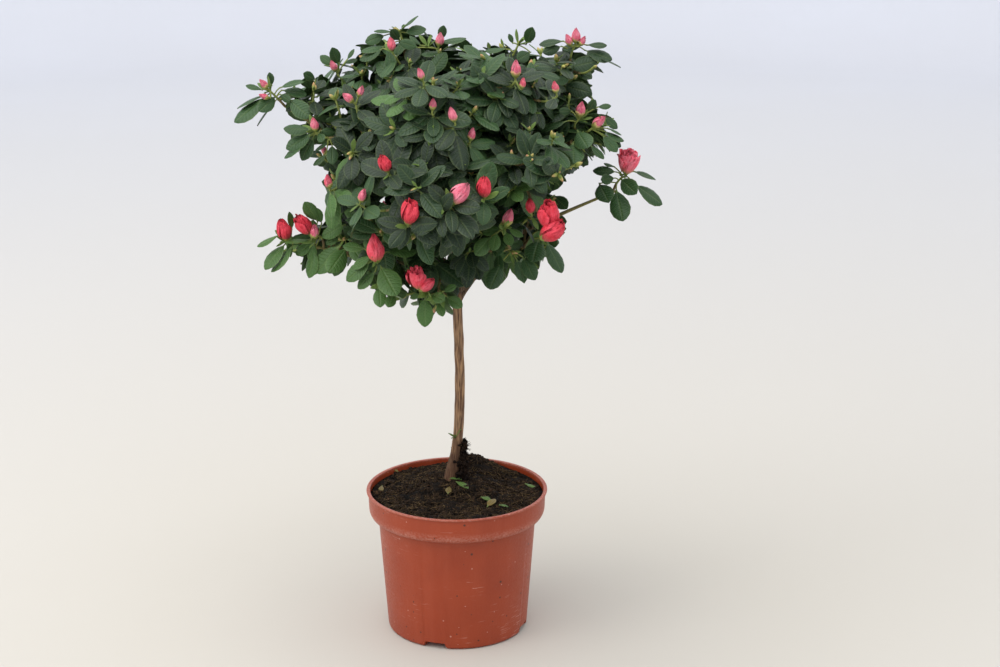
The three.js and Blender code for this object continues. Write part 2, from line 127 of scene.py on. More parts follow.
def lofted(name, rings, material, values=None, creased=()):
    """One joined mesh of closed tubes. rings holds tubes x stations x corners x xyz: neighbouring rings are
    joined corner to corner by four-sided faces, and one face of all its corners closes each end. values are
    kept at the corners for the material, and creased lists the corners whose long edges stay sharp."""
    tubes, stations, corners = rings.shape[:3]
    place = np.arange(tubes * stations * corners).reshape(tubes, stations, corners)
    beside = np.roll(place, -1, axis=2)
    sides = np.stack([place[:, :-1], beside[:, :-1], beside[:, 1:], place[:, 1:]], axis=-1).reshape(-1, 4)
    ends = np.concatenate([place[:, 0, ::-1], place[:, -1]])
    face_sizes = np.repeat([4, corners], [len(sides), len(ends)])
    face_corners = np.concatenate([sides.ravel(), ends.ravel()])
    mesh = bpy.data.meshes.new(name)
    mesh.vertices.add(place.size)
    mesh.vertices.foreach_set("co", rings.astype(np.float32).ravel())
    mesh.loops.add(len(face_corners))
    mesh.loops.foreach_set("vertex_index", face_corners.astype(np.int32))
    mesh.polygons.add(len(face_sizes))
    mesh.polygons.foreach_set("loop_start", (np.cumsum(face_sizes) - face_sizes).astype(np.int32))
    mesh.polygons.foreach_set("use_smooth", np.ones(len(face_sizes), bool))
    mesh.update(calc_edges=True)
    for label, numbers in (values or {}).items():
        spread = np.broadcast_to(numbers, place.shape).astype(np.float32)
        mesh.attributes.new(label, "FLOAT", "POINT").data.foreach_set("value", spread.ravel())
    if len(creased):
        edge_ends = np.empty(2 * len(mesh.edges), np.int32)
        mesh.edges.foreach_get("vertices", edge_ends)
        first, second = (edge_ends.reshape(-1, 2) % corners).T
        sharp = (first == second) & np.isin(first, creased)
        mesh.attributes.new("sharp_edge", "BOOLEAN", "EDGE").data.foreach_set("value", sharp)
    mesh.materials.append(material)
    piece = bpy.data.objects.new(name, mesh)
    bpy.context.scene.collection.objects.link(piece)
    return piece


def paint(red, green, blue):
    """A colour given as it reads on a screen, from 0 to 255, as the linear light that shaders work in."""
    share = np.array([red, green, blue]) / 255
    linear = np.where(share <= 0.04045, share / 12.92, ((share + 0.055) / 1.055) ** 2.4)
    return (*linear.tolist(), 1.0)


def add_node(tree, kind, inputs=None, **options):
    """Adds a node with its options, and feeds each named or numbered input from a socket or a value."""
    made = tree.nodes.new(kind if kind.startswith("NodeGroup") else "ShaderNode" + kind)
    for option, value in options.items():
        setattr(made, option, value)
    for label, value in (inputs or {}).items():
        if isinstance(value, bpy.types.NodeSocket):
            tree.links.new(value, made.inputs[label])
        else:
            made.inputs[label].default_value = value
    return made


def mixed(tree, factor, first, second, blend_type="MIX"):
    """A colour between two others, by a factor from 0 to 1."""
    made = add_node(tree, "Mix", {0: factor, 6: first, 7: second}, data_type="RGBA", blend_type=blend_type)
    return made.outputs[2]


def reached(tree, value, start, end, low=0.0, high=1.0):
    """A value taken from low to high as another goes from start to end, and held beyond."""
    made = add_node(tree, "MapRange", {0: value, 1: start, 2: end, 3: low, 4: high})
    return made.outputs["Result"]


def figured(tree, operation, first, second=0.0):
    """One sum on two numbers."""
    return add_node(tree, "Math", {0: first, 1: second}, operation=operation).outputs["Value"]


def read(tree, label):
    """A number kept at the mesh's corners."""
    return add_node(tree, "Attribute", attribute_name=label).outputs["Fac"]


def bumped(tree, height, strength, distance):
    """A normal tilted by a height, over a given depth in metres."""
    made = add_node(tree, "Bump", {"Height": height, "Strength": strength, "Distance": distance})
    return made.outputs["Normal"]


def shared_effect(name, inputs, outputs):
    """An empty node group with named inputs, each of a kind, and named outputs that are plain numbers: the
    group, its way in and its way out."""
    group = bpy.data.node_groups.new(name, "ShaderNodeTree")
    for label, kind in inputs.items():
        group.interface.new_socket(label, in_out="INPUT", socket_type=f"NodeSocket{kind}")
    for label in outputs:
        group.interface.new_socket(label, in_out="OUTPUT", socket_type="NodeSocketFloat")
    return group, group.nodes.new("NodeGroupInput"), group.nodes.new("NodeGroupOutput")


# Mottling that several finishes share: soft clouds of two sizes, each from 0 to 1
mottle_inputs = {"Place": "Vector", "Broad Scale": "Float", "Fine Scale": "Float"}
mottle, mottle_in, mottle_out = shared_effect("mottle", mottle_inputs, ("Broad", "Fine"))
for size in ("Broad", "Fine"):
    cloud = add_node(
        mottle,
        "TexNoise",
        {"Vector": mottle_in.outputs["Place"], "Scale": mottle_in.outputs[f"{size} Scale"], "Detail": 3.0},
    )
    mottle.links.new(reached(mottle, cloud.outputs["Fac"], 0.3, 0.7), mottle_out.inputs[size])


def new_finish(name, broad_scale, fine_scale):
    """A bare material: itself, its node tree, its place coordinates in metres, and the broad and the fine
    value of the shared mottling at two scales, in clouds to the metre."""
    material = bpy.data.materials.new(name)
    material.use_nodes = True
    tree = material.node_tree
    tree.nodes.clear()
    place = add_node(tree, "TexCoord").outputs["Object"]
    scales = {"Broad Scale": broad_scale, "Fine Scale": fine_scale}
    made = add_node(tree, "Group", node_tree=mottle)
    tree.links.new(place, made.inputs["Place"])
    for label, scale in scales.items():
        made.inputs[label].default_value = scale
    return material, tree, place, made.outputs["Broad"], made.outputs["Fine"]


def close_finish(tree, colour, roughness, specular, normal):
    """Ends a material with its surface shader, given its colour, roughness, gloss and normal."""
    inputs = {"Base Color": colour, "Roughness": roughness, "Specular IOR Level": specular, "Normal": normal}
    surface = add_node(tree, "BsdfPrincipled", inputs)
    add_node(tree, "OutputMaterial", {"Surface": surface.outputs["BSDF"]})


def drawn_out(tree, place, scale, detail):
    """Noise drawn out along an axis: its clouds to the metre along x, y and z."""
    stretched = add_node(tree, "Mapping", {"Vector": place, "Scale": scale})
    made = add_node(tree, "TexNoise", {"Vector": stretched.outputs[0], "Scale": 1.0, "Detail": detail})
    return made.outputs["Fac"]


def terracotta_finish():
    """Moulded terracotta plastic: clouded colour, pale dust rubbed into the band's foot and the lip, a few
    short scuffs, and specks of compost."""
    material, tree, place, broad, fine = new_finish("terracotta_plastic", 26.0, 520.0)
    height = add_node(tree, "SeparateXYZ", {0: place}).outputs["Z"]
    colour = mixed(tree, broad, paint(146, 52, 17), paint(157, 59, 22))
    streaks = drawn_out(tree, place, (120, 120, 7), 4.0)
    colour = mixed(tree, reached(tree, streaks, 0.45, 0.8, 0, 0.25), colour, paint(168, 78, 50))
    dashes = reached(tree, drawn_out(tree, place, (70, 70, 900), 2.0), 0.64, 0.7)
    scuffs = figured(tree, "MULTIPLY", dashes, reached(tree, broad, 0.5, 1, 0, 0.6))
    above_foot = reached(tree, height, BAND_FOOT - 0.002, BAND_FOOT + 0.003)
    below_lip = reached(tree, height, BAND_SHOULDER + 0.006, BAND_SHOULDER - 0.001)
    grains = drawn_out(tree, place, (480, 480, 620), 5.0)
    smears = figured(tree, "ADD", grains, figured(tree, "MULTIPLY", broad, 0.16))
    patchy = reached(tree, smears, 0.44, 0.8, 0.02, 0.5)
    dust = figured(tree, "MULTIPLY", figured(tree, "MULTIPLY", above_foot, below_lip), patchy)
    lip_edge = reached(tree, height, LIP_FOOT - 0.0004, LIP_FOOT + 0.0008, 0, 0.7)
    dust = figured(tree, "ADD", dust, figured(tree, "MULTIPLY", lip_edge, patchy))
    dust = figured(tree, "MAXIMUM", dust, scuffs)
    cells = add_node(tree, "TexVoronoi", {"Vector": place, "Scale": 150.0})
    chosen = add_node(tree, "SeparateColor", {0: cells.outputs["Color"]}).outputs[0]
    pale_size = reached(tree, chosen, 0.3, 0.0, 0, 0.13)
    pale_speck = figured(tree, "LESS_THAN", cells.outputs["Distance"], pale_size)
    dust = figured(tree, "MAXIMUM", dust, figured(tree, "MULTIPLY", pale_speck, 0.6))
    colour = mixed(tree, dust, colour, paint(206, 156, 140))
    dark_size = reached(tree, chosen, 0.55, 1.0, 0, 0.19)
    dark_speck = figured(tree, "LESS_THAN", cells.outputs["Distance"], dark_size)
    colour = mixed(tree, figured(tree, "MULTIPLY", dark_speck, 0.85), colour, paint(56, 32, 24))
    roughness = reached(tree, figured(tree, "ADD", dust, fine), 0, 1.5, 0.36, 0.62)
    normal = bumped(tree, fine, 0.15, 0.0004)
    close_finish(tree, colour, roughness, 0.5, normal)
    return material


def notched(rings):
    """The pot's rings with its foot raised at each notch: no lower than the notch's edge, which is level
    across the head and slopes to the floor from the head's half width to the foot's. The inside keeps a
    ceiling."""
    angle = np.arctan2(rings[..., 1], rings[..., 0])
    radius = np.hypot(rings[..., 0], rings[..., 1])
    off = np.min([np.abs((angle - a + np.pi) % (2 * np.pi) - np.pi) for a in NOTCH_AZIMUTHS], axis=0)
    edge = NOTCH_HEIGHT * np.clip((NOTCH_FOOT - off * BASE_RADIUS) / (NOTCH_FOOT - NOTCH_HEAD), 0, 1)
    station = np.arange(rings.shape[1])[None, :, None]
    inside = station > np.argmax(rings[0, :, 0, 2])
    lowest = np.where(edge > 0, edge + np.where(inside, NOTCH_CEILING, 0), 0)
    reach = np.where(inside, NOTCH_INNER_REACH, NOTCH_REACH)
    raised = rings.copy()
    raised[..., 2] = np.where(radius > reach, np.maximum(rings[..., 2], lowest), rings[..., 2])
    return raised


even_turns = 2 * np.pi * np.arange(POT_TURNS) / POT_TURNS
notch_sides = np.array([-NOTCH_FOOT, -NOTCH_HEAD, NOTCH_HEAD, NOTCH_FOOT]) / BASE_RADIUS
notch_turns = (NOTCH_AZIMUTHS[:, None] + notch_sides).ravel() % (2 * np.pi)
pot_turns = np.unique(np.concatenate([even_turns, notch_turns]))
pot = lofted("pot_shell", notched(turned(rounded_outline(POT_OUTLINE), pot_turns)), terracotta_finish())
pot.data.set_sharp_from_angle(angle=CREASE_ANGLE)
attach(pot, "root")
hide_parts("pot")


# Compost: damp peat that fills the pot to just under its rim, mounded round the trunk and heaped behind it.
# Its surface is loose crumbs with peat fibres and flakes of bark lying on it.
SOIL_GAP = 0.0003
SOIL_EDGE = POT_HEIGHT - 0.0055
SOIL_EDGE_RADIUS = BAND_SHOULDER_RADIUS - POT_WALL
SOIL_BEVEL = 0.015
SOIL_FOOT_RADIUS = BASE_RADIUS - POT_WALL - SOIL_GAP - SOIL_BEVEL
GROUND = 0.14
TRUNK_FOOT = np.array([-0.0055, 0.012])
PLATEAU_RADIUS = 0.011
MOUND_RADIUS = 0.046
HEAP = np.array([0.015, 0.056])
HEAP_HEIGHT = 0.017
HEAP_RADIUS = 0.021
SOIL_TURNS = 192
SOIL_RINGS = 72
SOIL_FADE = 0.004
CRUMBS = 3600
CRUMB_SIZES = (0.0005, 0.0016)
CRUMB_LIFT = 0.0006
FIBRES = 1250
FIBRE_LENGTH = 0.014
FIBRE_RADIUS = 0.0002
FIBRE_LIFT = 0.0018
FIBRE_STATIONS = 6
FLAKES = 46
FLAKE_SIZES = (0.001, 0.0026)
FLAKE_LIFT = 0.0012

# The lumps of its surface, the largest first: height, size and seed
SOIL_LUMPS = ((0.0016, 0.011, 5), (0.0011, 0.0042, 6), (0.0006, 0.0021, 7))
LATTICE = 32


def rough(points, cell, seed):
    """Smooth random relief from -1 to 1: a random height at each corner of a lattice of cubes of the given
    size, blended in an S-shaped rise from corner to corner along x, y and z."""
    heights = np.random.default_rng(seed).uniform(-1, 1, (LATTICE, LATTICE, LATTICE))
    scaled = points / cell
    corner = np.floor(scaled).astype(int)
    share = smoothstep(scaled - corner)
    total = np.zeros(points.shape[:-1])
    for step in np.ndindex(2, 2, 2):
        weight = np.prod(np.where(np.array(step) == 1, share, 1 - share), axis=-1)
        x, y, z = np.moveaxis((corner + step) % LATTICE, -1, 0)
        total += weight * heights[x, y, z]
    return total


def soil_height(x, y):
    """The compost's height: level round the trunk, falling in an S-shaped curve to its edge, with one heap
    whose height fades as a bell curve of the distance from its middle."""
    fall = smoothstep((np.hypot(x - TRUNK_FOOT[0], y - TRUNK_FOOT[1]) - PLATEAU_RADIUS) / MOUND_RADIUS)
    mound = GROUND - SOIL_GAP + (SOIL_EDGE - GROUND + SOIL_GAP) * fall
    return mound + HEAP_HEIGHT * fall * np.exp(-(((x - HEAP[0]) ** 2 + (y - HEAP[1]) ** 2) / HEAP_RADIUS**2))


def soil_rings():
    """The compost's plug: an outline that follows the pot's inside, and a top of rings at the compost's
    height, roughened in lumps of three sizes that fade out at the pot's wall."""
    inside = POT_WALL + SOIL_GAP
    slope = (BODY_TOP_RADIUS - BASE_RADIUS) / BAND_FOOT
    bottom = POT_FLOOR + SOIL_GAP
    side = [
        (AXIS_HOLE, bottom),
        (SOIL_FOOT_RADIUS, bottom),
        (BASE_RADIUS - inside + slope * SOIL_BEVEL, bottom + SOIL_BEVEL),
        (BODY_TOP_RADIUS - inside, BAND_FOOT),
        (BAND_SHOULDER_RADIUS - inside, BAND_SHOULDER),
    ]
    top = [(radius, SOIL_EDGE) for radius in np.linspace(SOIL_EDGE_RADIUS, AXIS_HOLE, SOIL_RINGS)]
    angles = 2 * np.pi * np.arange(SOIL_TURNS) / SOIL_TURNS
    rings = turned(np.array(side + top), angles)
    lid = rings[:, len(side):]
    x, y = lid[..., 0], lid[..., 1]
    fade = smoothstep((SOIL_EDGE_RADIUS - np.hypot(x, y)) / SOIL_FADE)
    relief = sum(height * rough(lid, size, seed) for height, size, seed in SOIL_LUMPS)
    lid[..., 2] = soil_height(x, y) + fade * relief
    return rings


def compost_finish(name, dark, light, bump):
    """Damp peat: near-black brown, mottled grain by grain, and matt."""
    material, tree, place, broad, fine = new_finish(name, 110.0, 900.0)
    colour = mixed(tree, figured(tree, "MULTIPLY", fine, broad), dark, light)
    roughness = reached(tree, fine, 0, 1, 0.75, 0.95)
    normal = bumped(tree, fine, bump, 0.0012)
    close_finish(tree, colour, roughness, 0.12, normal)
    return material


def strewn(random, count, spread=SOIL_EDGE_RADIUS - 0.002):
    """Points on the compost, even over its round top."""
    radius = spread * np.sqrt(random.random(count))
    turn = 2 * np.pi * random.random(count)
    x, y = radius * np.cos(turn), radius * np.sin(turn)
    return np.stack([x, y, soil_height(x, y)], axis=-1)


def lumps(random, middles, sizes, lie, thickness):
    """Small irregular lumps: three five-cornered rings each, the middle one widest, every corner pushed in
    or out by chance, spaced by the thickness along a chance axis, nearer upright the larger the lie."""
    axis = unit(random.normal(size=(len(middles), 3)) * [1, 1, lie])
    first = unit(np.cross(axis, random.normal(size=axis.shape)))
    second = np.cross(axis, first)
    turn = 2 * np.pi * np.arange(5) / 5
    spokes = first[:, None, None] * np.cos(turn)[:, None] + second[:, None, None] * np.sin(turn)[:, None]
    widths = np.array([0.5, 1, 0.45])[:, None] * random.uniform(0.6, 1.2, (len(middles), 3, 5))
    along = axis[:, None, None] * thickness * np.array([-1, 0, 1])[:, None, None]
    return middles[:, None, None] + sizes[:, None, None, None] * (spokes * widths[..., None] + along)


def tubes(lines, radii, corners):
    """Rings round lines: tubes x stations x xyz, with the matching radii, at each corner or one for all.
    Each ring lies square to its line, its corners at even turns from a spoke square to a steady axis."""
    tangent = unit(np.gradient(lines, axis=1))
    chord = unit(lines[:, -1] - lines[:, 0])
    steady = np.where(np.abs(chord[:, 2:]) < 0.8, [[0.0, 0.0, 1.0]], [[1.0, 0.0, 0.0]])
    first = unit(np.cross(steady[:, None], tangent))
    second = np.cross(tangent, first)
    turn = 2 * np.pi * np.arange(corners)[:, None] / corners
    spokes = first[:, :, None] * np.cos(turn) + second[:, :, None] * np.sin(turn)
    return lines[:, :, None] + np.asarray(radii)[..., None] * spokes


def bent(start, bow, end, stations):
    """Quadratic curves from start to end, pulled towards bow, as lines of even steps of their parameter."""
    t = np.linspace(0, 1, stations)[:, None]
    return (1 - t) ** 2 * start[:, None] + 2 * t * (1 - t) * bow[:, None] + t**2 * end[:, None]


def loose_fibres(random, count, longest, thickness, lift):
    """Bent hairs of peat on the compost: from a strewn point, over a bow above it, to a point close by."""
    start = strewn(random, count)
    heading = 2 * np.pi * random.random(count)
    reach = longest * random.uniform(0.35, 1, count)
    away = np.stack([np.cos(heading), np.sin(heading), 0 * heading], axis=-1) * reach[:, None]
    inward = np.where((np.hypot(*(start + away)[:, :2].T) > SOIL_EDGE_RADIUS - 0.001)[:, None], -1, 1)
    end = start + inward * away
    end[:, 2] = soil_height(end[:, 0], end[:, 1]) + random.uniform(-0.5, 1, count) * lift
    bow = (start + end) / 2 + random.normal(size=(count, 3)) * [0.2, 0.2, 0] * reach[:, None]
    bow[:, 2] = soil_height(bow[:, 0], bow[:, 1]) + random.uniform(0.2, 1.6, count) * lift
    return tubes(bent(start, bow, end, FIBRE_STATIONS), np.full((count, FIBRE_STATIONS, 1), thickness), 3)


compost = lofted("compost", soil_rings(), compost_finish("peat", paint(11, 8, 6), paint(50, 38, 29), 0.9))
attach(compost, "root")
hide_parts("soil")

litter = np.random.default_rng(71)
crumb_sizes = litter.uniform(*CRUMB_SIZES, CRUMBS) * (1 + litter.random(CRUMBS) ** 6)
crumb_rings = lumps(litter, strewn(litter, CRUMBS) + [0, 0, CRUMB_LIFT], crumb_sizes, 1, 0.8)
crumb_finish = compost_finish("peat_crumb", paint(12, 8, 6), paint(84, 65, 48), 0.5)
fibre_rings = loose_fibres(litter, FIBRES, FIBRE_LENGTH, FIBRE_RADIUS, FIBRE_LIFT)
fibre_finish = compost_finish("peat_fibre", paint(70, 54, 36), paint(146, 122, 86), 0.2)
flake_sizes = litter.uniform(*FLAKE_SIZES, FLAKES)
flake_rings = lumps(litter, strewn(litter, FLAKES) + [0, 0, FLAKE_LIFT], flake_sizes, 1.6, 0.22)
flake_finish = compost_finish("bark_flake", paint(48, 34, 25), paint(112, 84, 60), 0.4)
for loose_piece in (
    lofted("compost_crumbs", crumb_rings, crumb_finish),
    lofted("peat_fibres", fibre_rings, fibre_finish),
    lofted("bark_flakes", flake_rings, flake_finish),
):
    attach(loose_piece, "root")


# Trunk: one bare woody stem that leans and bows a little, flares where it enters the compost, and is lost
# among the leaves. Its thin tan bark is drawn in long upright fibres, darker and damp at the foot.
TRUNK_KNOTS = np.array(
    [
        (*TRUNK_FOOT, GROUND),
        (0.0012, 0.012, GROUND + 0.044),
        (0.0034, 0.0105, GROUND + 0.092),
        (0.0016, 0.005, GROUND + 0.172),
        (0, 0, GROUND + 0.282),
    ]
)
TRUNK_FOOT_RADIUS = 0.0062
TRUNK_STEM_RADIUS = 0.0047
TRUNK_HEAD_RADIUS = 0.0043
TRUNK_TIP_RADIUS = 0.0023
TRUNK_FLARE_HEIGHT = 0.03
TRUNK_BURIED = 0.008
TRUNK_CORNERS = 64
TRUNK_STATIONS = 230
TRUNK_BARK_DEPTH = 0.055
DAMP_HEIGHT = 0.166
ROOT_LOBES = 4
ROOT_LOBE_DEPTH = 0.09
ROOT_LOBE_HEIGHT = 0.018
CLUMP_FIBRES = 300
CLUMP_CRUMBS = 760
CLUMP_HEIGHT = 0.038
CLUMP_BEARING = math.radians(24)
CLUMP_FIBRE_RADIUS = 0.00019
CLUMP_FIBRE_LENGTHS = (0.001, 0.007)
CLUMP_FIBRE_REACH = 0.008
CLUMP_CRUMB_SIZES = (0.0006, 0.0021)
CLUMP_CRUMB_REACH = 0.0095
CLUMP_STATIONS = 5
UP = np.array([0.0, 0.0, 1.0])


def curve_through(knots, stations):
    """A smooth line through knots, even in length: between two knots a cubic whose end slopes come from the
    neighbouring knots, weighed by the square roots of their distances, so that it never loops."""
    ends = [2 * knots[0] - knots[1], *knots, 2 * knots[-1] - knots[-2]]
    t = np.linspace(0, 1, 200)[:, None]
    spans = []
    for before, start, end, after in zip(ends, ends[1:], ends[2:], ends[3:]):
        steps = (start - before, end - start, after - end)
        d0, d1, d2 = (np.sqrt(np.linalg.norm(step)) for step in steps)
        out = d1 * ((start - before) / d0 - (end - before) / (d0 + d1) + (end - start) / d1)
        into = d1 * ((end - start) / d1 - (after - start) / (d1 + d2) + (after - end) / d2)
        square = -3 * start + 3 * end - 2 * out - into
        cube = 2 * start - 2 * end + out + into
        spans.append(start + out * t + square * t**2 + cube * t**3)
    return evened(np.concatenate(spans), np.linspace(0, 1, stations))


def evened(line, shares):
    """The points of a line at given shares of its length."""
    run = np.concatenate([[0], np.cumsum(np.linalg.norm(np.diff(line, axis=0), axis=1))])
    return np.stack([np.interp(shares * run[-1], run, line[:, k]) for k in range(3)], axis=-1)


def at_heights(line, heights):
    """The points of a rising line at given heights."""
    return np.stack([np.interp(heights, line[:, 2], line[:, k]) for k in range(3)], axis=-1)


def trunk_radius(height):
    """The trunk's radius: an even taper to its head and a quicker one to its tip, with a flare at the foot
    that dies out in an S-shaped curve."""
    rise = height - GROUND
    head = TRUNK_KNOTS[3][2] - GROUND
    tip = TRUNK_KNOTS[4][2] - GROUND
    stem = np.interp(rise, [0, head, tip], [TRUNK_STEM_RADIUS, TRUNK_HEAD_RADIUS, TRUNK_TIP_RADIUS])
    return stem + (TRUNK_FOOT_RADIUS - TRUNK_STEM_RADIUS) * (1 - smoothstep(rise / TRUNK_FLARE_HEIGHT))


def barked(lines, radii, corners, seed, depth):
    """Tubes whose radius swells and sinks with bark: random relief on a lattice that is fine round the limb
    and long along it for fibres, and a coarser one for knots and hollows."""
    turn = 2 * np.pi * np.arange(corners) / corners
    steps = np.linalg.norm(np.diff(lines, axis=1), axis=-1)
    along = np.pad(np.cumsum(steps, axis=1), ((0, 0), (1, 0)))[..., None]
    grid = np.stack([np.cos(turn) + 0 * along, np.sin(turn) + 0 * along, along + 0 * turn], axis=-1)
    grid = grid + 3.7 * np.arange(len(lines))[:, None, None, None]
    fibre = rough(grid * [3.2, 3.2, 60], 1.0, seed) + 0.6 * rough(grid * [7.5, 7.5, 110], 1.0, seed + 1)
    knot = rough(grid * [0.9, 0.9, 75], 1.0, seed + 2)
    return tubes(lines, radii[..., None] * (1 + depth * fibre + 1.3 * depth * knot), corners)


def bark_finish(name, pale, dark, damp_height):
    """Thin fibrous bark: tan and brown streaks along the limb, broken by grey, dark with damp near the soil
    and olive on young wood."""
    material, tree, place, broad, fine = new_finish(name, 70.0, 800.0)
    streak = reached(tree, drawn_out(tree, place, (680, 680, 50), 4.0), 0.38, 0.62)
    colour = mixed(tree, streak, dark, pale)
    colour = mixed(tree, figured(tree, "MULTIPLY", broad, 0.22), colour, paint(120, 104, 88))
    height = add_node(tree, "SeparateXYZ", {0: place}).outputs["Z"]
    wander = figured(tree, "MULTIPLY", broad, 0.012)
    above = figured(tree, "SUBTRACT", height, wander)
    damp = reached(tree, above, damp_height - 0.012, damp_height + 0.014, 0.72, 0)
    colour = mixed(tree, damp, colour, paint(70, 44, 29))
    colour = mixed(tree, reached(tree, read(tree, "young"), 0.4, 1.0, 0, 0.75), colour, paint(140, 140, 76))
    rise = figured(tree, "ADD", streak, figured(tree, "MULTIPLY", fine, 0.4))
    roughness = reached(tree, fine, 0, 1, 0.7, 0.9)
    normal = bumped(tree, rise, 0.6, 0.0005)
    close_finish(tree, colour, roughness, 0.3, normal)
    return material


trunk_line = curve_through(TRUNK_KNOTS, TRUNK_STATIONS)
buried_end = trunk_line[0] - TRUNK_BURIED * unit(trunk_line[1] - trunk_line[0])
shown_line = np.concatenate([np.linspace(buried_end, trunk_line[0], 8, endpoint=False), trunk_line])
shown_radii = trunk_radius(shown_line[None, :, 2])
trunk_rings = barked(shown_line[None], shown_radii, TRUNK_CORNERS, 31, TRUNK_BARK_DEPTH)
root_swell = 1 - smoothstep((shown_line[:, 2] - GROUND) / ROOT_LOBE_HEIGHT)
lobe_turns = ROOT_LOBES * 2 * np.pi * np.arange(TRUNK_CORNERS) / TRUNK_CORNERS
lobes = 1 + ROOT_LOBE_DEPTH * root_swell[:, None] * np.cos(lobe_turns + 0.6)
trunk_rings = shown_line[:, None] + (trunk_rings - shown_line[:, None]) * lobes[..., None]
trunk_finish = bark_finish("trunk_bark", paint(168, 132, 97), paint(84, 55, 38), DAMP_HEIGHT)
trunk = lofted("trunk_bark", trunk_rings, trunk_finish)
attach(trunk, "root")
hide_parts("trunk")


def clump_places(random, count, furthest):
    """Points beside the trunk's foot on its right, thicker towards the compost, and the way out at each."""
    rise = CLUMP_HEIGHT * random.random(count) ** 1.3
    bearing = CLUMP_BEARING + random.normal(size=count) * 0.6
    out = np.stack([np.cos(bearing), np.sin(bearing), 0 * bearing], axis=-1)
    line = at_heights(trunk_line, GROUND + rise)
    spread = furthest * random.random(count) * (1.1 - 0.6 * rise / CLUMP_HEIGHT)
    reach = trunk_radius(GROUND + rise) * 0.9 + spread
    return line + out * reach[:, None], out


# A clump of fine dark roots and peat clings to the right of the trunk's foot
root_random = np.random.default_rng(83)
root_start, root_out = clump_places(root_random, CLUMP_FIBRES, CLUMP_FIBRE_REACH)
root_end = root_start + root_out * root_random.uniform(*CLUMP_FIBRE_LENGTHS, (CLUMP_FIBRES, 1))
root_end = root_end + root_random.normal(size=root_end.shape) * 0.0022 - [0, 0, 0.001]
root_bow = (root_start + root_end) / 2 + root_random.normal(size=root_end.shape) * 0.0016
root_lines = bent(root_start, root_bow, root_end, CLUMP_STATIONS)
root_radii = np.full((CLUMP_FIBRES, CLUMP_STATIONS, 1), CLUMP_FIBRE_RADIUS)
root_rings = tubes(root_lines, root_radii, 3)
root_finish = compost_finish("root_fibre", paint(34, 23, 17), paint(86, 62, 44), 0.3)
clump_middles, _ = clump_places(root_random, CLUMP_CRUMBS, CLUMP_CRUMB_REACH)
clump_sizes = root_random.uniform(*CLUMP_CRUMB_SIZES, CLUMP_CRUMBS)
clump_rings = lumps(root_random, clump_middles, clump_sizes, 1, 0.8)
clump_finish = compost_finish("root_peat", paint(16, 11, 8), paint(58, 42, 31), 0.6)
for root_piece in (
    lofted("root_fibres", root_rings, root_finish),
    lofted("root_peat", clump_rings, clump_finish),
):
    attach(root_piece, "root")


# Boughs: slim woody limbs that leave the head of the trunk one above the other, arch out and carry one mass
# of foliage each. They are the trunk's own wood and bark, grown on from it.
LOWEST_ROOT = 0.312
ROOT_STEP = 0.0046
BOUGH_ROOT_RADIUS = 0.0027
BOUGH_TIP_RADIUS = 0.0011
BOUGH_CORNERS = 14
BOUGH_STATIONS = 26
BOUGH_STEPS = 200
BOUGH_BARK_DEPTH = 0.05
BOUGH_COLLAR = 0.0012
COLLAR_SHARE = 0.12
ARCH_SHARE = 0.38
ARCH_RISE = 0.012
ARCH_REACH = 0.01
STEM_ROOM = 0.005
SHORTEST_STEM = 0.014
ENTRY_STEPS = 60
TRUNK_BALLS = 160
BOUGH_BALLS = 90
BOUGH_BALL_RADII = (0.0026, 0.002)

# Each mass in the order in which its bough leaves the trunk: bearing in degrees (0 to the right, -90 to the
# front), reach of its middle from the axis, height, half width and half height
MASSES = {
    "front_low": (-104, 0.076, 0.346, 0.044, 0.048),
    "back_low_right": (48, 0.096, 0.378, 0.058, 0.050),
    "lower_left": (-172, 0.132, 0.376, 0.052, 0.042),
    "lower_right": (-15, 0.064, 0.372, 0.044, 0.054),
    "front_low_left": (-136, 0.104, 0.380, 0.050, 0.046),
    "back_low_left": (128, 0.098, 0.380, 0.058, 0.050),
    "front_low_right": (-58, 0.090, 0.386, 0.048, 0.052),
    "left_middle": (-166, 0.100, 0.436, 0.050, 0.046),
    "right_spray": (0, 0.146, 0.420, 0.046, 0.044),
    "back_middle": (90, 0.138, 0.432, 0.060, 0.052),
    "front_middle": (-98, 0.138, 0.446, 0.056, 0.046),
    "back_left": (145, 0.122, 0.452, 0.056, 0.052),
    "front_right": (-55, 0.126, 0.462, 0.054, 0.050),
    "back_right": (35, 0.116, 0.452, 0.056, 0.052),
    "left_shoulder": (-148, 0.114, 0.482, 0.054, 0.046),
    "right_upper": (-14, 0.116, 0.482, 0.046, 0.044),
    "back_top": (95, 0.084, 0.502, 0.060, 0.048),
    "far_left": (-176, 0.150, 0.500, 0.048, 0.034),
    "front_upper": (-100, 0.104, 0.506, 0.056, 0.046),
    "right_tip": (5, 0.104, 0.528, 0.050, 0.040),
    "upper_left": (160, 0.098, 0.512, 0.052, 0.040),
    "front_top": (-58, 0.072, 0.524, 0.052, 0.044),
    "top_left": (178, 0.044, 0.538, 0.054, 0.040),
    "top_right": (14, 0.044, 0.528, 0.054, 0.044),
}
BEARING, REACH, HEIGHT, HALF_WIDTH, HALF_HEIGHT = np.array(list(MASSES.values())).T
OUTWARD = np.stack([np.cos(np.radians(BEARING)), np.sin(np.radians(BEARING)), 0 * BEARING], axis=-1)
MIDDLES = OUTWARD * REACH[:, None] + UP * HEIGHT[:, None]
HALF_SIZES = np.stack([HALF_WIDTH, HALF_WIDTH, HALF_HEIGHT], axis=-1)


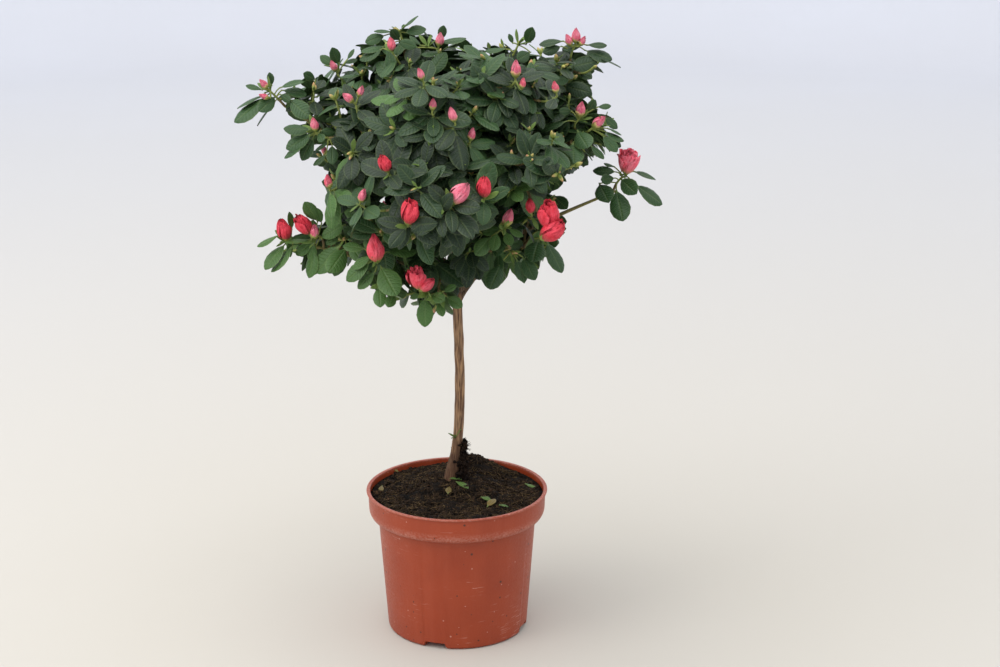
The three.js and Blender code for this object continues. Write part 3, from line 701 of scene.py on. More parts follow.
def held(points, mass, margin):
    """Whether points lie in a mass's own space: in its ellipsoid, and by a margin on its side of the plane
    half way to each other mass."""
    away = points - MIDDLES[mass]
    apart = np.delete(MIDDLES, mass, axis=0) - MIDDLES[mass]
    gap = np.linalg.norm(apart, axis=-1)
    own_side = np.all(away @ (apart / gap[:, None]).T < gap / 2 - margin, axis=-1)
    return own_side & (np.linalg.norm(away / HALF_SIZES[mass], axis=-1) <= 1)


def entry_share(mass, line):
    """The share of a bough's line from which it stays in its mass's space, the last bit at the latest."""
    inside = held(evened(line, np.linspace(0, 1, ENTRY_STEPS + 1)), mass, STEM_ROOM)
    outside = np.flatnonzero(~inside[:-1])
    first = (outside.max() + 1 if len(outside) else 1) / ENTRY_STEPS
    length = np.sum(np.linalg.norm(np.diff(line, axis=0), axis=1))
    return min(first, 1 - SHORTEST_STEM / length)


root_heights = LOWEST_ROOT + ROOT_STEP * np.arange(len(MASSES))
bough_roots = at_heights(evened(trunk_line, np.linspace(0, 1, 2000)), root_heights)
bough_arches = bough_roots + ARCH_SHARE * (MIDDLES - bough_roots) + ARCH_REACH * OUTWARD + ARCH_RISE * UP
bough_lines = bent(bough_roots, bough_arches, MIDDLES, BOUGH_STEPS)
entries = np.array([entry_share(mass, line) for mass, line in enumerate(bough_lines)])
bough_share = np.linspace(0, 1, BOUGH_STATIONS)
shown_boughs = np.stack([evened(line, bough_share) for line in bough_lines])
bough_radii = BOUGH_ROOT_RADIUS + (BOUGH_TIP_RADIUS - BOUGH_ROOT_RADIUS) * bough_share
bough_radii = bough_radii + BOUGH_COLLAR * (1 - smoothstep(bough_share / COLLAR_SHARE))
bough_radii = np.broadcast_to(bough_radii, shown_boughs.shape[:2])
bough_rings = barked(shown_boughs, bough_radii, BOUGH_CORNERS, 47, BOUGH_BARK_DEPTH)
bough_finish = bark_finish("bough_bark", paint(120, 98, 74), paint(70, 53, 40), 0.1)
boughs = lofted("boughs", bough_rings, bough_finish, {"young": bough_share[:, None]})
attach(boughs, "root")
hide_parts(*(f"bough_{name}" for name in MASSES))

# The limbs as runs of balls, which keep shoots and leaves clear of them
trunk_balls = evened(trunk_line, np.linspace(0, 1, TRUNK_BALLS))
bough_balls = [evened(line, np.linspace(0, entry, BOUGH_BALLS)) for line, entry in zip(bough_lines, entries)]
BALLS = np.concatenate([trunk_balls, *bough_balls])
bough_ball_radii = np.tile(np.linspace(*BOUGH_BALL_RADII, BOUGH_BALLS), len(MASSES))
BALL_RADII = np.concatenate([trunk_radius(trunk_balls[:, 2]), bough_ball_radii])


def clear_of_limbs(points, margin):
    """Whether every point of each row of points stays a margin clear of the trunk and the boughs."""
    flat = points.reshape(-1, 3)
    gap = np.linalg.norm(flat[:, None] - BALLS, axis=-1) - BALL_RADII
    return np.all((gap.min(axis=1) > margin).reshape(points.shape[:-1]), axis=-1)


# Shoots: the season's thin twigs. A few leave the end of each bough, by the golden angle, and finer ones
# fork off them until the mass is full. They are brown wood below and soft yellow-green stem at the tip.
FIRST_SEED = 4409
SEED_STEP = 331
RUN_FACTOR = 48271
RUN_MODULUS = 2147483647
WIDTH_PER_TWIG = 0.014
LOWEST_RISE = -0.75
AIM_SPREAD = 0.6
MAIN_SHARE = 0.6
OUTER_SHARE = 0.7
INNER_SHARE = 0.43
SHELL_SPREAD = (0.9, 1.04)
CANDIDATES = 90
OUTWARD_PULL = 0.45
FULL_PULL_REACH = 0.12
AXIS_OUTWARD_PULL = 0.3
CROWN_OUTWARD_PULL = 0.5
LOW_UPWARD_PULL = 0.2
HIGH_UPWARD_PULL = 0.85
UPWARD_PULL_HEIGHTS = (0.35, 0.53)
SPRAY_FACING = 0.4
GOLDEN_ANGLE = math.pi * (3 - math.sqrt(5))
LOW_TIP_SPACING = 0.0225
TIP_SPACING = 0.0195
SPACING_HEIGHTS = (0.36, 0.45)
OPEN_SPACING = {"right_spray": 0.05}
TIP_MARGIN = 0.003
SHOOT_ROOM = 0.003
FORK_BACK = 0.012
WOOD_SHARES = np.linspace(0.2, 1, 10)
ROSETTE_REACH = 0.009
CROWN_MIDDLE = np.array([0.0, 0.0, 0.44])
CROWN_HALF_SIZE = np.array([0.185, 0.185, 0.135])
INNERMOST = 0.5
SHOOT_STATIONS = 8
SHOOT_BEND = 0.45
SHOOT_CORNERS = 6
SHOOT_ROOT_RADIUS = 0.0012
SHOOT_TIP_RADIUS = 0.0009
GREEN_FROM = 3

# The photograph's camera, which stands in front of the plant and looks a little down on it
CAMERA_PLACE = np.array([0.0, -1.8, 0.815])
CAMERA_YAW = math.radians(1.29)
CAMERA_PITCH = math.radians(16.36)
FOCAL_PIXELS = 2040
IMAGE_SIZE = np.array([1000, 667])
FORWARD = np.array(
    [
        math.sin(CAMERA_YAW) * math.cos(CAMERA_PITCH),
        math.cos(CAMERA_YAW) * math.cos(CAMERA_PITCH),
        -math.sin(CAMERA_PITCH),
    ]
)
RIGHTWARD = np.array([math.cos(CAMERA_YAW), -math.sin(CAMERA_YAW), 0])
UPWARD = np.cross(RIGHTWARD, FORWARD)


def sight_line(pixel):
    """The direction from the camera through a pixel of the image."""
    across, down = (np.array(pixel) - IMAGE_SIZE / 2) / FOCAL_PIXELS
    return unit(FORWARD + across * RIGHTWARD - down * UPWARD)


def seen_at(points):
    """The pixels at which the camera sees points, and their depths."""
    away = points - CAMERA_PLACE
    depth = away @ FORWARD
    across = np.stack([away @ RIGHTWARD, -(away @ UPWARD)], axis=-1)
    return IMAGE_SIZE / 2 + FOCAL_PIXELS * across / depth[..., None], depth


# Where light shows through the crown in the image: middle and half size of each opening, in pixels
OPENINGS = {
    "left_slit": (341, 110, 8, 7),
    "left_slit_low": (350, 131, 7, 6),
    "left_window": (326, 147, 11, 7),
    "left_window_low": (338, 156, 9, 6),
    "shoulder_slit": (317, 98, 7, 6),
    "crest_slit": (369, 74, 7, 6),
    "middle_slit": (386, 201, 7, 9),
    "low_slit": (352, 264, 6, 12),
    "right_slit": (519, 243, 5, 9),
    "pair_slit": (519, 206, 6, 6),
    "hanging_slit": (509, 266, 4, 8),
}
# The crown's outline in the image without its outermost sprays: the pixels of its corners, clockwise
OUTLINE_TOP = [
    (284, 92), (306, 76), (322, 62), (345, 58), (362, 44), (376, 32), (402, 25), (426, 28), (446, 32),
    (470, 41),
]
OUTLINE_CREST = [
    (490, 43), (504, 38), (535, 36), (548, 44), (565, 46), (598, 48), (606, 62), (594, 72), (594, 98),
    (610, 110),
]
OUTLINE_RIGHT = [
    (622, 132), (614, 148), (596, 150), (580, 164), (558, 178), (554, 192), (562, 206), (562, 236),
    (552, 252),
]
OUTLINE_FOOT = [
    (540, 268), (524, 278), (510, 264), (500, 280), (488, 284), (480, 274), (464, 282), (458, 306),
    (446, 312),
]
OUTLINE_UNDER = [
    (428, 314), (414, 302), (396, 302), (378, 300), (364, 284), (346, 274), (330, 268), (308, 270),
    (296, 260),
]
OUTLINE_LEFT = [
    (280, 256), (272, 246), (290, 237), (308, 220), (328, 208), (326, 196), (330, 178), (326, 164),
    (302, 150),
]
OUTLINE_NECK = [(292, 132), (306, 122), (290, 110), (278, 102)]
OUTLINE_CORNERS = (
    OUTLINE_TOP + OUTLINE_CREST + OUTLINE_RIGHT + OUTLINE_FOOT + OUTLINE_UNDER + OUTLINE_LEFT + OUTLINE_NECK
)
CROWN_OUTLINE = np.array(OUTLINE_CORNERS, float)


def within_outline(pixel):
    """Whether pixels lie inside the crown's outline: a line to the right crosses it an odd number of
    times."""
    start, end = CROWN_OUTLINE, np.roll(CROWN_OUTLINE, -1, axis=0)
    level = pixel[..., 1, None]
    spans = (start[:, 1] > level) != (end[:, 1] > level)
    rise = np.where(end[:, 1] == start[:, 1], 1, end[:, 1] - start[:, 1])
    crossing = start[:, 0] + (level - start[:, 1]) / rise * (end[:, 0] - start[:, 0])
    return np.sum(spans & (pixel[..., 0, None] < crossing), axis=-1) % 2 == 1


def in_the_open(points):
    """Whether points fall outside the crown's outline in the image, or into one of its openings."""
    pixel, _ = seen_at(points)
    opening = np.array(list(OPENINGS.values()))
    offset = (pixel[..., None, :] - opening[:, :2]) / opening[:, 2:]
    return ~within_outline(pixel) | np.any(np.linalg.norm(offset, axis=-1) < 1, axis=-1)


# The sprays that the image shows one by one: the mass, the pixel of the shoot's tip, how far that stands in
# front of the mass's middle, and the leaves' tint
SEEN_SPRAYS = {
    "far_left": ("far_left", 271, 92, 0.01, "plain"),
    "left_shoulder": ("left_shoulder", 316, 131, 0.0, "plain"),
    "lower_left_outer": ("lower_left", 287, 241, 0.015, "fresh"),
    "lower_left": ("lower_left", 316, 241, 0.02, "fresh"),
    "lower_left_inner": ("lower_left", 345, 239, 0.02, "fresh"),
    "front_low_left": ("front_low_left", 376, 259, 0.02, "fresh"),
    "front_low_under": ("front_low_left", 385, 283, 0.02, "fresh"),
    "front_low": ("front_low", 428, 292, 0.03, "fresh"),
    "front_low_side": ("front_low", 441, 295, 0.03, "fresh"),
    "front_low_middle": ("front_low_right", 470, 254, 0.01, "deep"),
    "front_low_right": ("front_low_right", 504, 228, 0.03, "fresh"),
    "low_right_hanging": ("lower_right", 511, 252, 0.05, "plain"),
    "lower_right": ("lower_right", 541, 239, 0.03, "plain"),
    "pair_side": ("lower_right", 550, 199, 0.02, "plain"),
    "right_spray": ("right_spray", 620, 175, 0.01, "plain"),
    "right_upper": ("right_upper", 580, 120, 0.02, "plain"),
    "right_upper_out": ("right_upper", 601, 127, 0.02, "plain"),
    "right_upper_low": ("right_upper", 579, 141, 0.03, "plain"),
    "right_tip": ("right_tip", 577, 45, 0.01, "dark"),
    "top_right": ("top_right", 518, 45, 0.02, "plain"),
    "top_left": ("top_left", 400, 33, 0.015, "plain"),
    "top_crest": ("top_left", 428, 47, 0.03, "plain"),
    "upper_left": ("upper_left", 339, 70, 0.015, "plain"),
}
# The leaves of those sprays: the pixels of foot and tip, and how broad the leaf looks for its length
SEEN_LEAVES = {
    "far_left": [
        (263, 90, 246, 85, 0.3), (272, 86, 270, 73, 0.55), (267, 96, 234, 122, 0.38),
        (264, 95, 236, 107, 0.2), (275, 101, 257, 126, 0.1), (276, 96, 261, 113, 0.65),
        (279, 88, 305, 80, 0.32), (281, 90, 307, 94, 0.35), (288, 98, 311, 119, 0.55),
        (280, 94, 291, 102, 0.6), (316, 80, 305, 75, 0.75),
    ],
    "left_shoulder": [
        (313, 130, 284, 129, 0.4), (313, 133, 286, 149, 0.45), (310, 136, 284, 158, 0.2),
        (314, 136, 301, 160, 0.5), (318, 133, 324, 142, 0.8), (319, 131, 336, 132, 0.5),
        (329, 142, 315, 150, 0.3), (332, 144, 333, 165, 0.55), (327, 154, 313, 165, 0.35),
    ],
    "lower_left_outer": [
        (279, 235, 257, 246, 0.2), (286, 243, 265, 269, 0.38), (294, 244, 271, 272, 0.3),
        (289, 239, 291, 257, 0.3), (292, 230, 290, 212, 0.35),
    ],
    "lower_left": [
        (313, 242, 296, 255, 0.5), (315, 243, 309, 261, 0.5), (315, 249, 308, 278, 0.45),
        (312, 240, 285, 242, 0.2), (318, 222, 306, 203, 0.6), (322, 224, 316, 208, 0.5),
    ],
    "lower_left_inner": [
        (341, 244, 315, 273, 0.5), (347, 247, 330, 273, 0.62), (346, 224, 322, 237, 0.45),
        (350, 242, 362, 262, 0.6), (340, 237, 326, 244, 0.5),
    ],
    "front_low_left": [
        (372, 260, 345, 280, 0.45), (366, 249, 343, 245, 0.4), (385, 252, 417, 250, 0.4),
        (376, 271, 357, 288, 0.42), (380, 265, 397, 295, 0.68), (372, 256, 352, 268, 0.4),
    ],
    "front_low_under": [(379, 285, 381, 307, 0.6), (394, 292, 389, 307, 0.7)],
    "front_low": [(425, 296, 425, 327, 0.52), (431, 294, 445, 301, 0.75), (421, 294, 410, 298, 0.5)],
    "front_low_side": [(438, 302, 443, 316, 0.6), (446, 296, 462, 307, 0.6), (443, 292, 456, 285, 0.5)],
    "front_low_middle": [
        (470, 257, 468, 281, 0.6), (473, 256, 480, 280, 0.55), (467, 257, 458, 277, 0.55),
        (473, 253, 488, 271, 0.5), (467, 253, 450, 268, 0.5), (471, 250, 474, 268, 0.7),
        (469, 262, 466, 288, 0.5),
    ],
    "front_low_right": [
        (497, 232, 493, 251, 0.62), (505, 231, 511, 246, 0.62), (508, 228, 523, 236, 0.42),
        (502, 228, 482, 233, 0.45), (492, 236, 476, 255, 0.6),
    ],
    "low_right_hanging": [
        (499, 251, 497, 275, 0.42), (502, 262, 490, 289, 0.56), (516, 258, 525, 282, 0.5),
        (522, 256, 535, 280, 0.55),
    ],
    "lower_right": [(539, 239, 532, 263, 0.85), (546, 240, 562, 273, 0.38)],
    "pair_side": [(554, 195, 566, 209, 0.7)],
    "right_spray": [
        (617, 172, 593, 170, 0.42), (615, 178, 601, 181, 0.75), (599, 183, 607, 203, 0.85),
        (616, 188, 622, 222, 0.58), (620, 178, 635, 195, 0.72), (634, 184, 664, 203, 0.36),
        (633, 171, 656, 179, 0.3), (615, 167, 604, 163, 0.25),
    ],
    "right_upper": [
        (597, 107, 611, 106, 0.4), (587, 114, 595, 101, 0.6), (567, 121, 540, 131, 0.3),
        (572, 111, 559, 112, 0.6),
    ],
    "right_upper_out": [
        (604, 117, 618, 128, 0.5), (607, 128, 622, 134, 0.2), (604, 131, 624, 141, 0.3),
        (606, 136, 621, 147, 0.45), (602, 135, 617, 152, 0.5),
    ],
    "right_upper_low": [
        (577, 130, 586, 149, 0.9), (573, 142, 573, 166, 0.85), (584, 151, 593, 160, 0.15),
        (590, 145, 604, 159, 0.35),
    ],
    "right_tip": [
        (564, 41, 539, 43, 0.3), (562, 46, 543, 53, 0.5), (583, 45, 562, 49, 0.4), (586, 45, 607, 45, 0.3),
        (584, 50, 612, 60, 0.42), (597, 57, 621, 67, 0.1), (566, 68, 597, 61, 0.48),
        (580, 72, 591, 80, 0.7), (562, 85, 590, 94, 0.55), (593, 99, 580, 81, 0.45),
    ],
    "top_right": [
        (526, 45, 532, 30, 0.7), (513, 44, 509, 34, 0.5), (507, 49, 485, 50, 0.25), (531, 52, 517, 62, 0.7),
    ],
    "top_left": [
        (393, 32, 374, 31, 0.25), (403, 28, 418, 16, 0.25), (402, 30, 404, 24, 0.5),
        (404, 33, 426, 28, 0.5), (386, 35, 365, 42, 0.5), (400, 41, 392, 32, 0.8), (386, 46, 361, 52, 0.35),
        (384, 48, 359, 59, 0.4),
    ],
    "top_crest": [
        (440, 41, 444, 27, 0.6), (438, 43, 466, 37, 0.3), (442, 52, 421, 54, 0.3), (419, 48, 400, 42, 0.5),
        (421, 46, 410, 35, 0.3), (428, 77, 446, 53, 0.5),
    ],
    "upper_left": [
        (339, 66, 333, 49, 0.6), (347, 60, 354, 49, 0.4), (334, 66, 320, 55, 0.5), (344, 64, 357, 58, 0.4),
    ],
}
SPRAY_PIXELS = 22
SEEN_LEAF_PIXELS = 11
SPRAY_DEPTH = 0.03


def placed(pixel, depth):
    """The points that the camera sees at pixels, at depths straight ahead of it."""
    across = (np.asarray(pixel, float) - IMAGE_SIZE / 2) / FOCAL_PIXELS
    ahead = FORWARD + across[..., :1] * RIGHTWARD - across[..., 1:] * UPWARD
    return CAMERA_PLACE + np.asarray(depth)[..., None] * ahead


def spray_tip(spray):
    """Where the shoot of a spray that the image shows ends."""
    name, pixel_u, pixel_v, forward, _ = SEEN_SPRAYS[spray]
    middle = MIDDLES[list(MASSES).index(name)]
    return placed((pixel_u, pixel_v), (middle - CAMERA_PLACE) @ FORWARD - forward)


SPRAY_TIPS = {spray: spray_tip(spray) for spray in SEEN_SPRAYS}


def before_spray(tip):
    """Whether a tip stands before one of the sprays that the image shows, or close behind it: near the tip
    of its shoot, or near the middle of one of its leaves."""
    pixel, depth = seen_at(tip)
    for spray, spray_tip_place in SPRAY_TIPS.items():
        spray_pixel, spray_depth = seen_at(spray_tip_place)
        rows = np.array(SEEN_LEAVES[spray])
        leaf_middles = (rows[:, :2] + rows[:, 2:4]) / 2
        near_tip = np.linalg.norm(spray_pixel - pixel) < SPRAY_PIXELS
        near_leaf = np.linalg.norm(leaf_middles - pixel, axis=1).min() < SEEN_LEAF_PIXELS
        if (near_tip or near_leaf) and depth < spray_depth + SPRAY_DEPTH:
            return True
    return False


def seeded_run(seed):
    """The plant's own run of numbers from 0 to 1: each state is the last one times a factor, less all whole
    moduli in it, and the number is the state over the modulus."""
    state = seed
    while True:
        state = state * RUN_FACTOR % RUN_MODULUS
        yield state / RUN_MODULUS


def main_twigs(mass, stem):
    """The twigs that leave a mass's stem, by the golden angle from its top down: root and aim of each."""
    run = seeded_run(FIRST_SEED + SEED_STEP * mass)
    pull = OUTWARD_PULL * min(1, REACH[mass] / FULL_PULL_REACH)
    turn_offset = next(run) * 2 * math.pi
    count = round(HALF_WIDTH[mass] / WIDTH_PER_TWIG)
    grown = []
    for i in range(count):
        rise = 1 + (LOWEST_RISE - 1) * (i + 0.3) / count
        turn = turn_offset + i * GOLDEN_ANGLE
        level = math.sqrt(1 - rise * rise)
        aim = np.array([level * math.cos(turn), level * math.sin(turn), rise]) + pull * OUTWARD[mass]
        aim = unit(aim + [(next(run) - 0.5) * AIM_SPREAD for _ in range(3)])
        root = stem[1] + (stem[3] - stem[1]) * next(run)
        next(run)  # the source's rule draws one more number here, for a bloom
        grown.append((root, aim))
    return grown


def axis_of(aims, mass):
    """The way a shoot's tip points: its aim, leaning out from the trunk, and up more the higher it is."""
    lift = np.interp(HEIGHT[mass], UPWARD_PULL_HEIGHTS, [LOW_UPWARD_PULL, HIGH_UPWARD_PULL])
    return unit(aims + AXIS_OUTWARD_PULL * OUTWARD[mass] + lift * UP)


def shoot_line(root, tip, axis):
    """A shoot's bent line: it sets out for a point behind its tip, and ends along its axis."""
    behind = tip - SHOOT_BEND * np.linalg.norm(tip - root) * axis
    return bent(root[None], behind[None], tip[None], SHOOT_STATIONS)[0]


def fork_of(wood, tip, axis):
    """The point of the wood that is nearest to a little way behind a tip."""
    return wood[np.argmin(np.linalg.norm(wood - tip + FORK_BACK * axis, axis=1))]


def dealt_aims(count, offset):
    """Directions dealt evenly over a sphere, by the golden angle from its top to its foot."""
    rise = 1 - 2 * (np.arange(count) + 0.5) / count
    turn = offset + np.arange(count) * GOLDEN_ANGLE
    level = np.sqrt(1 - rise**2)
    return np.stack([level * np.cos(turn), level * np.sin(turn), rise], axis=-1)


def grown_crown():
    """Every shoot of the crown, mass by mass: the twigs of the source's rule first, then finer ones whose
    tips are dealt over two shells in the mass and fork off the nearest wood behind them. A tip that would
    leave its mass's space, crowd another tip, lie deep in the crown or cross a limb is left out."""
    crown = []
    tips = np.zeros((1, 3))
    for mass, name in enumerate(MASSES):
        stem = evened(bough_lines[mass], np.linspace(entries[mass], 1, 4))
        wood = evened(stem, WOOD_SHARES)
        for spray, tip in SPRAY_TIPS.items():
            if SEEN_SPRAYS[spray][0] == name:
                axis = axis_of(unit(unit(tip - CROWN_MIDDLE) - SPRAY_FACING * FORWARD), mass)
                root = fork_of(wood, tip, axis)
                line = shoot_line(root, tip, axis)
                crown.append({"line": line, "axis": axis, "mass": mass, "spray": spray})
                tips = np.vstack([tips, tip])
        offers = [(root, aim, MAIN_SHARE) for root, aim in main_twigs(mass, stem)]
        dealt = np.random.default_rng(FIRST_SEED + SEED_STEP * mass)
        for share in (OUTER_SHARE, INNER_SHARE):
            aims = dealt_aims(CANDIDATES, dealt.random() * 2 * math.pi)
            offers += [(None, aim, share * dealt.uniform(*SHELL_SPREAD)) for aim in aims]
        for root, aim, share in offers:
            tip = MIDDLES[mass] + aim * HALF_SIZES[mass] * share
            outward = tip - CROWN_MIDDLE
            deep = np.linalg.norm(outward / CROWN_HALF_SIZE) < INNERMOST
            spacing = np.interp(tip[2], SPACING_HEIGHTS, [LOW_TIP_SPACING, TIP_SPACING])
            crowded = np.linalg.norm(tips - tip, axis=1).min() < OPEN_SPACING.get(name, spacing)
            if deep or crowded or not held(tip, mass, TIP_MARGIN):
                continue
            axis = axis_of(unit(aim + CROWN_OUTWARD_PULL * unit(outward)), mass)
            if before_spray(tip) or np.any(in_the_open(tip + axis * np.array([[0], [ROSETTE_REACH]]))):
                continue
            forked = root is None
            if forked:
                root = fork_of(wood, tip, axis)
            line = shoot_line(root, tip, axis)
            if not clear_of_limbs(line[SHOOT_STATIONS // 2:], SHOOT_ROOM):
                continue
            crown.append({"line": line, "axis": axis, "mass": mass})
            tips = np.vstack([tips, tip])
            if not forked:
                wood = np.vstack([wood, line[2:-1]])
    return crown


shoots = grown_crown()

# Where the flowers and coloured buds stand in the image: pixel, length, how far open, the tilt to the right
# in degrees, and the tint
SEEN_FLOWERS = {
    "right_pair_upper": (549, 213, 0.027, 0.5, -6, "red"),
    "right_pair_lower": (554, 229, 0.025, 0.4, 52, "red"),
    "right_spray": (628, 160, 0.0235, 0.75, 6, "coral"),
    "low_pair_upper": (416, 276, 0.022, 0.55, -12, "rose"),
    "low_pair_lower": (428, 284, 0.017, 0.2, 50, "rose"),
    "left_of_low": (375, 246, 0.027, 0.15, -6, "rose"),
    "far_left_outer": (283, 228, 0.022, 0.25, -14, "red"),
    "far_left_inner": (302, 223, 0.022, 0.4, -38, "red"),
    "middle_left": (410, 210, 0.023, 0.45, 10, "red"),
    "middle": (461, 192, 0.023, 0.2, 40, "pink"),
    "middle_right": (484, 185, 0.02, 0.22, 0, "red"),
    "shoulder_left": (384, 162, 0.016, 0.3, -20, "red"),
    "beside_right_pair": (530, 205, 0.014, 0.2, -10, "red"),
    "low_right": (509, 216, 0.017, 0, 16, "pink"),
    "far_left_low": (314, 230, 0.015, 0, 4, "pink"),
    "left_side": (328, 180, 0.013, 0, -8, "coral"),
    "left_middle": (363, 194, 0.013, 0, 20, "pink"),
    "upper_middle": (452, 113, 0.0135, 0, -16, "pink"),
    "top_middle": (516, 67, 0.016, 0, 2, "pink"),
    "top_right": (576, 34, 0.014, 0, 4, "pink"),
    "top_right_left": (568, 39, 0.012, 0, -24, "pink"),
    "top_right_right": (583, 40, 0.01, 0, 30, "pink"),
    "right_upper": (581, 108, 0.015, 0, 12, "pink"),
    "right_upper_out": (600, 121, 0.015, 0, 48, "pink"),
    "left_tip_upper": (263, 83, 0.0105, 0, -40, "pink"),
    "left_tip_lower": (263, 96, 0.0095, 0, -70, "pink"),
    "left_shoulder": (314, 123, 0.013, 0, -10, "pink"),
    "left_upper": (347, 97, 0.012, 0, -50, "pink"),
    "left_upper_small": (361, 90, 0.0105, 0, 24, "pink"),
    "top_left": (391, 43, 0.013, 0.1, -10, "coral"),
    "left_crest": (333, 65, 0.011, 0, -24, "pink"),
    "top_left_low": (420, 73, 0.011, 0, -20, "pink"),
    "top_crest": (440, 38, 0.013, 0, 10, "pink"),
    "centre": (472, 133, 0.012, 0, 14, "pink"),
    "upper_small": (433, 103, 0.011, 0, 6, "pink"),
    "crown_small": (523, 82, 0.01, 0, 10, "coral"),
    "right_small": (555, 86, 0.011, 0, -12, "coral"),
}
FLOWER_SHIFT = 0.03
SHIFT_SLACK = 0.001
SHIFT_WEIGHT = 1.2
FLOWER_FORWARD = 0.007
KNOT_PIXELS = 17
KNOT_PULL = 0.06
SHARED_PIXELS = 18
FLOWER_STALK = 0.004
FLOWER_FACING = 0.3
FAR_FLOWER_SHARE = 0.12
FAR_FLOWER_LENGTHS = (0.02, 0.027)
FAR_FLOWER_OPENNESS = (0.2, 0.8)
FAR_FLOWER_RISE = 0.07
FAR_BUD_SHARE = 0.34
FAR_BUD_LENGTHS = (0.011, 0.016)
FAR_DEPTH = 0.045
FAR_OUTER = 0.75
FAR_AXIS_PULL = 0.45
FAR_UPWARD_PULL = 0.8
CROWN_PIXEL = np.array([440, 165])
CROWN_PIXELS = np.array([128, 88])

flowers = []
tips = np.array([shoot["line"][-1] for shoot in shoots])
on_spray = np.array(["spray" in shoot for shoot in shoots])
for pixel_u, pixel_v, length, openness, tilt, tint in SEEN_FLOWERS.values():
    pixel = np.array([pixel_u, pixel_v])
    sight = sight_line(pixel)
    lean = math.radians(tilt)
    axis = unit(math.cos(lean) * UP + math.sin(lean) * RIGHTWARD - FLOWER_FACING * FORWARD)
    flower = {"axis": axis, "length": length, "openness": openness, "tint": tint, "pixel": pixel}
    neighbours = [other for other in flowers if np.linalg.norm(other["pixel"] - pixel) < SHARED_PIXELS]
    if neighbours:
        shoot = neighbours[0]["shoot"]
        depth = neighbours[0]["depth"]
    else:
        depths = (tips - CAMERA_PLACE) @ sight
        beside = np.linalg.norm(tips - CAMERA_PLACE - depths[:, None] * sight, axis=1)
        free = np.array(["flowers" not in other for other in shoots])
        near = free & (beside < max(FLOWER_SHIFT, beside[free].min() + SHIFT_SLACK))
        foot_pixel = seen_at(CAMERA_PLACE + depths[:, None] * sight - 0.5 * length * axis)[0]
        own_knot = on_spray & (np.linalg.norm(seen_at(tips)[0] - foot_pixel, axis=1) < KNOT_PIXELS)
        cost = depths + SHIFT_WEIGHT * beside - KNOT_PULL * own_knot
        chosen = np.flatnonzero(near)[np.argmin(cost[near])]
        shoot = shoots[chosen]
        depth = depths[chosen] - FLOWER_FORWARD
    foot = CAMERA_PLACE + depth * sight - 0.5 * length * axis
    if not neighbours:
        tips[chosen] = foot - FLOWER_STALK * axis
        shoot["line"] = shoot_line(shoot["line"][0], tips[chosen], shoot["axis"])
        shoot["flowers"] = True
    flowers.append({**flower, "foot": foot, "depth": depth, "shoot": shoot})

# On the far side, which the image doesn't show, flowers and buds stand on the outer tips by chance
far_side = np.random.default_rng(907)
for shoot in shoots:
    away = shoot["line"][-1] - CROWN_MIDDLE
    draw = far_side.random()
    outer = np.linalg.norm(away / CROWN_HALF_SIZE) > FAR_OUTER
    inward = (seen_at(shoot["line"][-1])[0] - CROWN_PIXEL) / CROWN_PIXELS
    behind = away @ FORWARD > FAR_DEPTH and np.linalg.norm(inward) < 1
    if "flowers" in shoot or not outer or not behind or draw > FAR_BUD_SHARE:
        continue
    opening = draw < FAR_FLOWER_SHARE and away[2] < FAR_FLOWER_RISE
    axis = unit(FAR_AXIS_PULL * shoot["axis"] + FAR_UPWARD_PULL * UP)
    shoot["flowers"] = True
    flowers.append(
        {
            "axis": axis,
            "length": far_side.uniform(*(FAR_FLOWER_LENGTHS if opening else FAR_BUD_LENGTHS)),
            "openness": far_side.uniform(*FAR_FLOWER_OPENNESS) if opening else 0,
            "tint": far_side.choice(["red", "coral"]) if opening else "pink",
            "foot": shoot["line"][-1] + FLOWER_STALK * axis,
            "shoot": shoot,
        }
    )


def stem_finish(name, dark, light):
    """Young stem: faintly downy, clouded from one tone to another."""
    material, tree, place, broad, fine = new_finish(name, 90.0, 900.0)
    colour = mixed(tree, broad, dark, light)
    normal = bumped(tree, fine, 0.3, 0.0003)
    close_finish(tree, colour, 0.7, 0.3, normal)
    return material


shoot_lines = np.array([shoot["line"] for shoot in shoots])
shoot_radii = np.linspace(SHOOT_ROOT_RADIUS, SHOOT_TIP_RADIUS, SHOOT_STATIONS)
shoot_rings = tubes(shoot_lines, np.tile(shoot_radii[:, None], (len(shoots), 1, 1)), SHOOT_CORNERS)
brown_stem = stem_finish("shoot_wood", paint(92, 76, 50), paint(126, 112, 70))
shoot_wood = lofted("shoots", shoot_rings[:, :GREEN_FROM + 1], brown_stem)
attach(shoot_wood, "root")
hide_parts(*(f"foliage_{name}" for name in MASSES))

green_stem = stem_finish("green_stem", paint(104, 116, 54), paint(140, 150, 78))
shoot_tips = lofted("shoot_tips", shoot_rings[:, GREEN_FROM:], green_stem)
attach(shoot_tips, "root")


# Leaves: leathery evergreen blades on short stalks, widest beyond the middle, dark grey-green above and
# paler beneath, with a sunk midrib. They stand in a rosette round each shoot's tip and singly below it.
LOW_LEAF_LENGTH = 0.0345
LEAF_LENGTH = 0.0315
ROSETTE_LEAVES = 7
LOWER_LEAVES = 3
YOUNG_LEAVES = 2
BLADE_STATIONS = np.array([-0.1, 0.02, 0.16, 0.36, 0.58, 0.79, 0.94, 0.998])
BLADE_ACROSS = np.array([1, 0.5, 0, -0.5, -1, 0])
BLADE_FACE = np.array([0, 1, 1, 1, 0, -1])
BLADE_MARGINS = (0, 4)
STALK_HALF_WIDTH = 0.0005
BLADE_HALF_THICKNESS = 0.00018
KEEL = 0.00035
WIDEST_RISE = 0.85
WIDEST_FALL = 0.7
LOW_SAG = 0.5
HIGH_SAG = 0.12
SAG_HEIGHTS = (0.36, 0.46)
LIGHT_PULL = 0.4
HEADING_SCATTER = 0.1
FACE_SCATTER = 0.12
